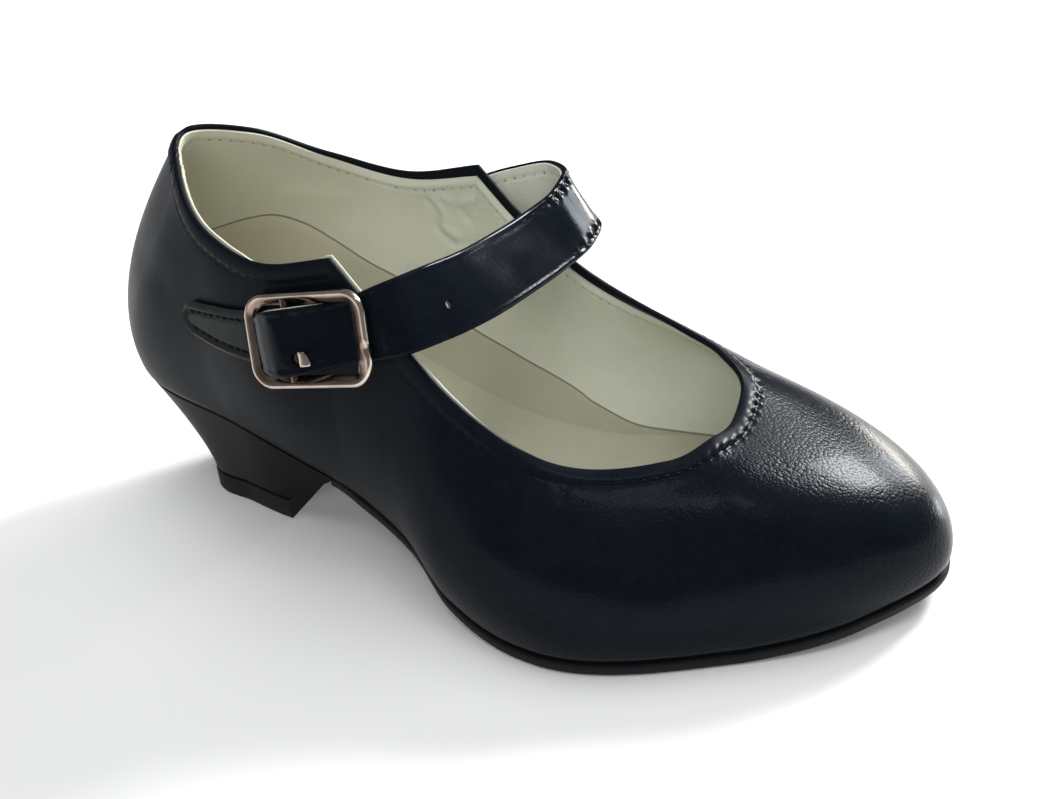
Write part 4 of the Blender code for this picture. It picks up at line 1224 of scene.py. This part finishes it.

# %% [markdown]
# ## The buckle
#
# The frame is cast metal with a rounded outer rim and a bevel that falls towards the window. A
# cross-section of fifteen points is carried round a rounded rectangle. The bevel stores how far in it
# lies, and the metal turns dark and coppery there and on the underside that faces the wall: partly
# where the plating is thin, partly as painted shade. The bar is painted that dark all over, as painted
# shade.

# %% Metal
nickel = Finish("warm_nickel_plate", Metallic=1.0)
tarnish = nickel.noise(260.0, 4.0, 0.6)
scratch = nickel.noise(900.0, 3.0, 0.6, nickel.place((1.0, 1.0, 0.15)))
# dark copper inside, under the frame and on the bar: partly thin plating, partly painted shade
thin_plate_and_painted_shade = nickel.stored("bevel") * (0.6 + 0.6 * tarnish)
plate = nickel.mix(tarnish.step(0.3, 0.8), colour(0.78, 0.665, 0.57), colour(0.54, 0.43, 0.35))
nickel.surface(
    Base_Color=nickel.mix(thin_plate_and_painted_shade.lowest(1.0), plate, colour(0.20, 0.115, 0.08)),
    Roughness=0.14 + 0.12 * tarnish + 0.06 * scratch,
    Normal=nickel.relief(scratch, 1.2e-5, 0.4),
)
NICKEL_FINISH = nickel.material
print("metal is mixed")


# %% Frame, bar and prong
def rounded_rectangle(length, height, corner, corner_steps=14, side_steps=12):
    """Points and outward directions round a rectangle with round corners."""
    half_length, half_height = length / 2 - corner, height / 2 - corner
    middles = [(half_length, half_height), (-half_length, half_height),
               (-half_length, -half_height), (half_length, -half_height)]
    points, directions = [], []
    for quarter, centre in enumerate(middles):
        for step in range(corner_steps + 1):
            angle = (quarter + step / corner_steps) * math.pi / 2
            directions.append(np.array([math.cos(angle), math.sin(angle)]))
            points.append(np.array(centre) + directions[-1] * corner)
        start, following = points[-1], np.array(middles[(quarter + 1) % 4]) + directions[-1] * corner
        for step in range(1, side_steps):
            points.append(start + (following - start) * step / side_steps)
            directions.append(directions[-1])
    return points, directions


def make_frame():
    # each row: distance out, height, and how dark the plate is painted (thin plating and painted shade)
    section = [
        (1.10, -0.35, 0.3), (1.13, 0.1, 0.1), (1.04, 0.5, 0), (0.84, 0.76, 0), (0.58, FRAME_CROWN, 0.1),
        (0.3, 0.8, 0.45), (0.0, 0.66, 0.75), (-0.3, 0.46, 0.85), (-0.62, 0.2, 0.7), (-0.9, -0.06, 0.6),
        (-1.1, -0.35, 0.9), (-1.05, -0.65, 1), (-0.75, -0.83, 1), (0.7, -0.83, 0.8), (1.0, -0.65, 0.5),
    ]
    points, directions = rounded_rectangle(
        BUCKLE_LENGTH - WIRE_WIDTH, BUCKLE_HEIGHT - WIRE_WIDTH, BUCKLE_CORNER - WIRE_WIDTH / 2)
    rings = []
    for point, direction in zip(points, directions):
        ring = []
        nick = 0.45 * bell(math.dist(point, NICK), 0.6)
        broad = 1.0 + 0.7 * smooth_step(0.4, 0.95, direction[0])
        for over, rise, _ in section:
            plan = point + direction * (over * broad if over < 0 else over)
            rise = FRAME_STAND_OFF + FRAME_TILT * plan[0] + min(rise, FRAME_CROWN - nick)
            ring.append(buckle_place(plan[0], plan[1], rise))
        rings.append(ring)
    values = {"bevel": np.tile([row[2] for row in section], len(rings))}
    return ring_piece("buckle_rim", rings, NICKEL_FINISH, closed=True, values=values)


def make_prong():
    radius = BAR_DIAMETER / 2 + 0.15 + PRONG_DIAMETER / 2
    path = [(BAR_PLACE + math.cos(angle) * radius, BAR_STAND_OFF + math.sin(angle) * radius)
            for angle in np.radians(np.linspace(185.0, 75.0, 12))]
    path += [(BAR_PLACE + along, off) for along, off in
             ((1.0, 5.35), (2.0, 5.35), (3.1, 5.9), (3.5, 7.1), (4.1, 7.8), (4.8, 7.85), (5.4, 7.5))]
    path = np.array(path)
    knots = tape(path)
    fine = smooth_curve(knots, path, np.linspace(0.0, knots[-1], 48))
    centres = np.array([buckle_place(along, PRONG_PLACE, off) for along, off in fine])
    direction = unit(np.gradient(centres, axis=0))
    up = buckle_axes()[2]
    part = np.linspace(0.0, 1.0, 48)
    blade = smooth_step(0.74, 0.80, part)
    blunt = 1.0 - 0.4 * smooth_step(0.97, 1.0, part)
    wide = PRONG_DIAMETER / 2 * (1.0 + 1.4 * blade) * blunt
    thick = PRONG_DIAMETER / 2 * (1.0 - 0.45 * blade) * blunt
    rings = []
    for i in range(len(centres)):
        ring = []
        for angle in np.arange(16) * 2 * math.pi / 16:
            over, deep = [math.copysign(abs(turn) ** (1.0 - 0.6 * blade[i]), turn)
                          for turn in (math.sin(angle), math.cos(angle))]
            slant = up - 0.35 * blade[i] * direction[i]
            ring.append(centres[i] + np.cross(direction[i], up) * deep * thick[i] + slant * over * wide[i])
        rings.append(ring)
    return ring_piece("buckle_tongue", rings, NICKEL_FINISH)


buckle = make_frame()
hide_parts("buckle_frame")
bar_reach = BUCKLE_HEIGHT / 2 - WIRE_WIDTH / 2
bar_line = [buckle_place(BAR_PLACE, up, BAR_STAND_OFF) for up in (-bar_reach, bar_reach)]
# the whole bar is painted dark copper: painted shade under the tab and frame
bar = rod("buckle_bar", *bar_line, BAR_DIAMETER, NICKEL_FINISH, {"bevel": np.ones(2 * ROD_SIDES)})
prong = make_prong()
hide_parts("buckle_prong")
print("buckle:", len(buckle.data.polygons), "faces")

# %% [markdown]
# ## The tab
#
# A tapered tab, sewn on the quarter, holds the buckle: it runs under the strap and folds round the bar.
# Its edge is puffed, and a seam follows the edge.

# %% Tab and its seam
TabRow = namedtuple("TabRow", "along rise half_width")
TAB_ROWS = [TabRow(*row) for row in (
    (33.6, 50.3, 0.9), (33.9, 50.3, 2.2), (35.3, 50.4, 3.5), (42.0, 50.6, 4.5),
    (50.0, 51.2, 5.2), (56.0, 52.2, 5.2),
)]
TAB_SEAM_IN = 1.9
TAB_SEAM_FROM, TAB_SEAM_TO = 1.6, 21.0    # along the tab, from its tip
WRAP_HALF_WIDTH = 5.9   # of the tab where it is folded round the bar


def tab_face(across, half):
    """Height of the tab's outer face over its middle at distances across it."""
    from_edge = half - np.abs(across)
    return TAB_THICKNESS / 2 + 0.35 * bell(from_edge - 0.9, 0.5) - 0.3 * bell(from_edge - TAB_SEAM_IN, 0.4)


def tab_frames():
    centres, faces, halves = [], [], []
    for row in TAB_ROWS:
        place, normal = on_wall(-1, row.along, row.rise, 0.3 + TAB_THICKNESS / 2)
        centres.append(place)
        faces.append(normal)
        halves.append(row.half_width)
    _, along, _, outside = buckle_axes()
    radius = BAR_DIAMETER / 2 + 0.25 + TAB_THICKNESS / 2
    for angle in np.radians(np.linspace(-90.0, 150.0, 13)):
        centres.append(buckle_place(
            BAR_PLACE + math.cos(angle) * radius, 0.0, BAR_STAND_OFF + math.sin(angle) * radius))
        faces.append(-along * math.cos(angle) - outside * math.sin(angle))
        halves.append(WRAP_HALF_WIDTH)
    centres = np.array(centres)
    knots = tape(centres)
    at = np.linspace(0.0, knots[-1], 110)
    middle = smooth_curve(knots, centres, at)
    run = unit(np.gradient(middle, axis=0))
    face = smooth_curve(knots, np.array(faces), at)
    side = unit(np.cross(face, run))
    half = np.interp(at, knots, halves)
    return at, middle, side, np.cross(run, side), half


def tab_section(half):
    edge = half - 0.25
    over = np.linspace(edge, -edge, 25)
    section = [(across, -TAB_THICKNESS / 2) for across in (-edge, 0.0, edge)]
    return section + [(half, 0.0)] + list(zip(over, tab_face(over, half))) + [(-half, 0.0)]


tab_at, tab_middle, tab_side, tab_out, tab_half = tab_frames()
tab = sweep(
    "buckle_tab_leather", map(tab_section, tab_half), tab_middle, tab_side, tab_out, TAB_FINISH, sharp=60.0)
slit = [[
    buckle_place(BAR_PLACE + along * 2.7, PRONG_PLACE + up * 1.0, off)
    for along, up in ((-1, -1), (-1, 1), (1, 1), (1, -1))
] for off in (BAR_STAND_OFF - 0.9, BAR_STAND_OFF + 3.0)]
cut(tab, ring_piece("prong_slit", slit, TAB_FINISH))
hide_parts("buckle_tab")

shown = (tab_at > TAB_SEAM_FROM) & (tab_at < TAB_SEAM_TO)
tab_lines = []
for sign in (-1, 1):
    across = sign * np.maximum(tab_half - TAB_SEAM_IN, 0.0)
    rise = tab_face(across, tab_half)
    line = tab_middle + tab_side * across[:, None] + tab_out * rise[:, None]
    tab_lines += seam_paths(line[shown], tab_out[shown], SHORT_PITCH)
tab_seam = tubes("tab_seam", tab_lines, THREAD / 2, THREAD_FINISH)
print("tab:", len(tab.data.polygons), "faces")

# %% [markdown]
# ## Studio
#
# The shoe stands on a pale table. Black leather shows only what it mirrors, so each highlight has its own
# source: a box behind the shoe for the vamp, a weaker one for the throat, a low strip for the far edge,
# and small cards for the strap and the tip of the toe. Daylight from above and a fill from the front light
# the lining. The leather doesn't mirror these two, so it stays black.

# %% Floor and light
floor_mesh = bpy.data.meshes.new("floor")
FLOOR_REACH = 3.0
floor_corners = [(x * FLOOR_REACH, y * FLOOR_REACH, 0) for x, y in ((-1, -1), (1, -1), (1, 1), (-1, 1))]
floor_mesh.from_pydata(floor_corners, [], [(0, 1, 2, 3)])
floor = bpy.data.objects.new("floor", floor_mesh)
bpy.context.scene.collection.objects.link(floor)
table = Finish("white_table", Roughness=0.7)
table.surface(
    Base_Color=table.mix(table.noise(8.0, 3.0), colour(0.80, 0.80, 0.795), colour(0.83, 0.83, 0.825)))
floor_mesh.materials.append(table.material)


def soft_box(name, place, aim, width, height, watts, mirrored=True, tint=(1.0, 1.0, 1.0)):
    lamp = bpy.data.lights.new(name, "AREA")
    lamp.shape = "RECTANGLE"
    lamp.size = width
    lamp.size_y = height
    lamp.energy = watts
    lamp.color = tint
    box = bpy.data.objects.new(name, lamp)
    box.location = place
    box.rotation_euler = (Vector(aim) - Vector(place)).to_track_quat("-Z", "Y").to_euler()
    box.visible_camera = False
    box.visible_glossy = mirrored
    bpy.context.scene.collection.objects.link(box)


soft_box("back_box", (0.378, 0.85, 0.676), (0.06, 0.0, 0.03), 0.25, 0.26, 16.5)
soft_box("throat_box", (0.10, 0.93, 0.68), (0.03, 0.0, 0.03), 0.22, 0.26, 1.3)
soft_box("top_card", (0.295, -0.11, 0.99), (0.034, -0.023, 0.03), 0.2, 0.2, 0.6)
soft_box("low_strip", (0.30, 0.96, 0.10), (0.07, 0.0, 0.02), 0.22, 0.12, 3.0, tint=(1.0, 0.93, 0.86))
soft_box("strap_card", (0.191, 0.369, 0.143), (0.005, 0.026, 0.057), 0.07, 0.08, 0.3, tint=(0.86, 0.93, 1.0))
soft_box("toe_card", (0.117, 0.078, 0.0065), (0.0825, 0.0073, 0.0179), 0.014, 0.009, 0.006)
soft_box("front_fill", (0.3, -1.2, 0.8), (0.0, 0.0, 0.05), 0.9, 0.6, 7.1, mirrored=False)

daylight = bpy.data.lights.new("overhead_daylight", "SUN")
daylight.energy = 2.0
daylight.angle = math.radians(62.0)
overhead = bpy.data.objects.new("overhead_daylight", daylight)
overhead.visible_glossy = False
bpy.context.scene.collection.objects.link(overhead)

world = bpy.data.worlds.new("studio")
world.use_nodes = True
sky = world.node_tree.nodes["Background"].inputs
sky["Color"].default_value = colour(0.90, 0.95, 1.0)
sky["Strength"].default_value = 0.17
bpy.context.scene.world = world
print("studio:", sum(item.type == "LIGHT" for item in bpy.context.scene.objects), "lights")

# %% Camera
CAMERA_PLACE = Vector((103.1, -197.5, 171.6)) * MM
CAMERA_AIM = Vector((-0.3, 14.1, 20.3)) * MM
CAMERA_ROLL = math.radians(-4.2)
lens = bpy.data.cameras.new("camera")
lens.sensor_width = 36.0
lens.lens = 46.5
lens.clip_start = 0.01
camera = bpy.data.objects.new("camera", lens)
look = (CAMERA_AIM - CAMERA_PLACE).to_track_quat("-Z", "Y").to_matrix()
turn = look @ Matrix.Rotation(CAMERA_ROLL, 3, "Z")
camera.matrix_world = Matrix.Translation(CAMERA_PLACE) @ turn.to_4x4()
bpy.context.scene.collection.objects.link(camera)
bpy.context.scene.camera = camera
bpy.context.scene.view_settings.view_transform = "Standard"
print("camera:", lens.lens, "mm lens")
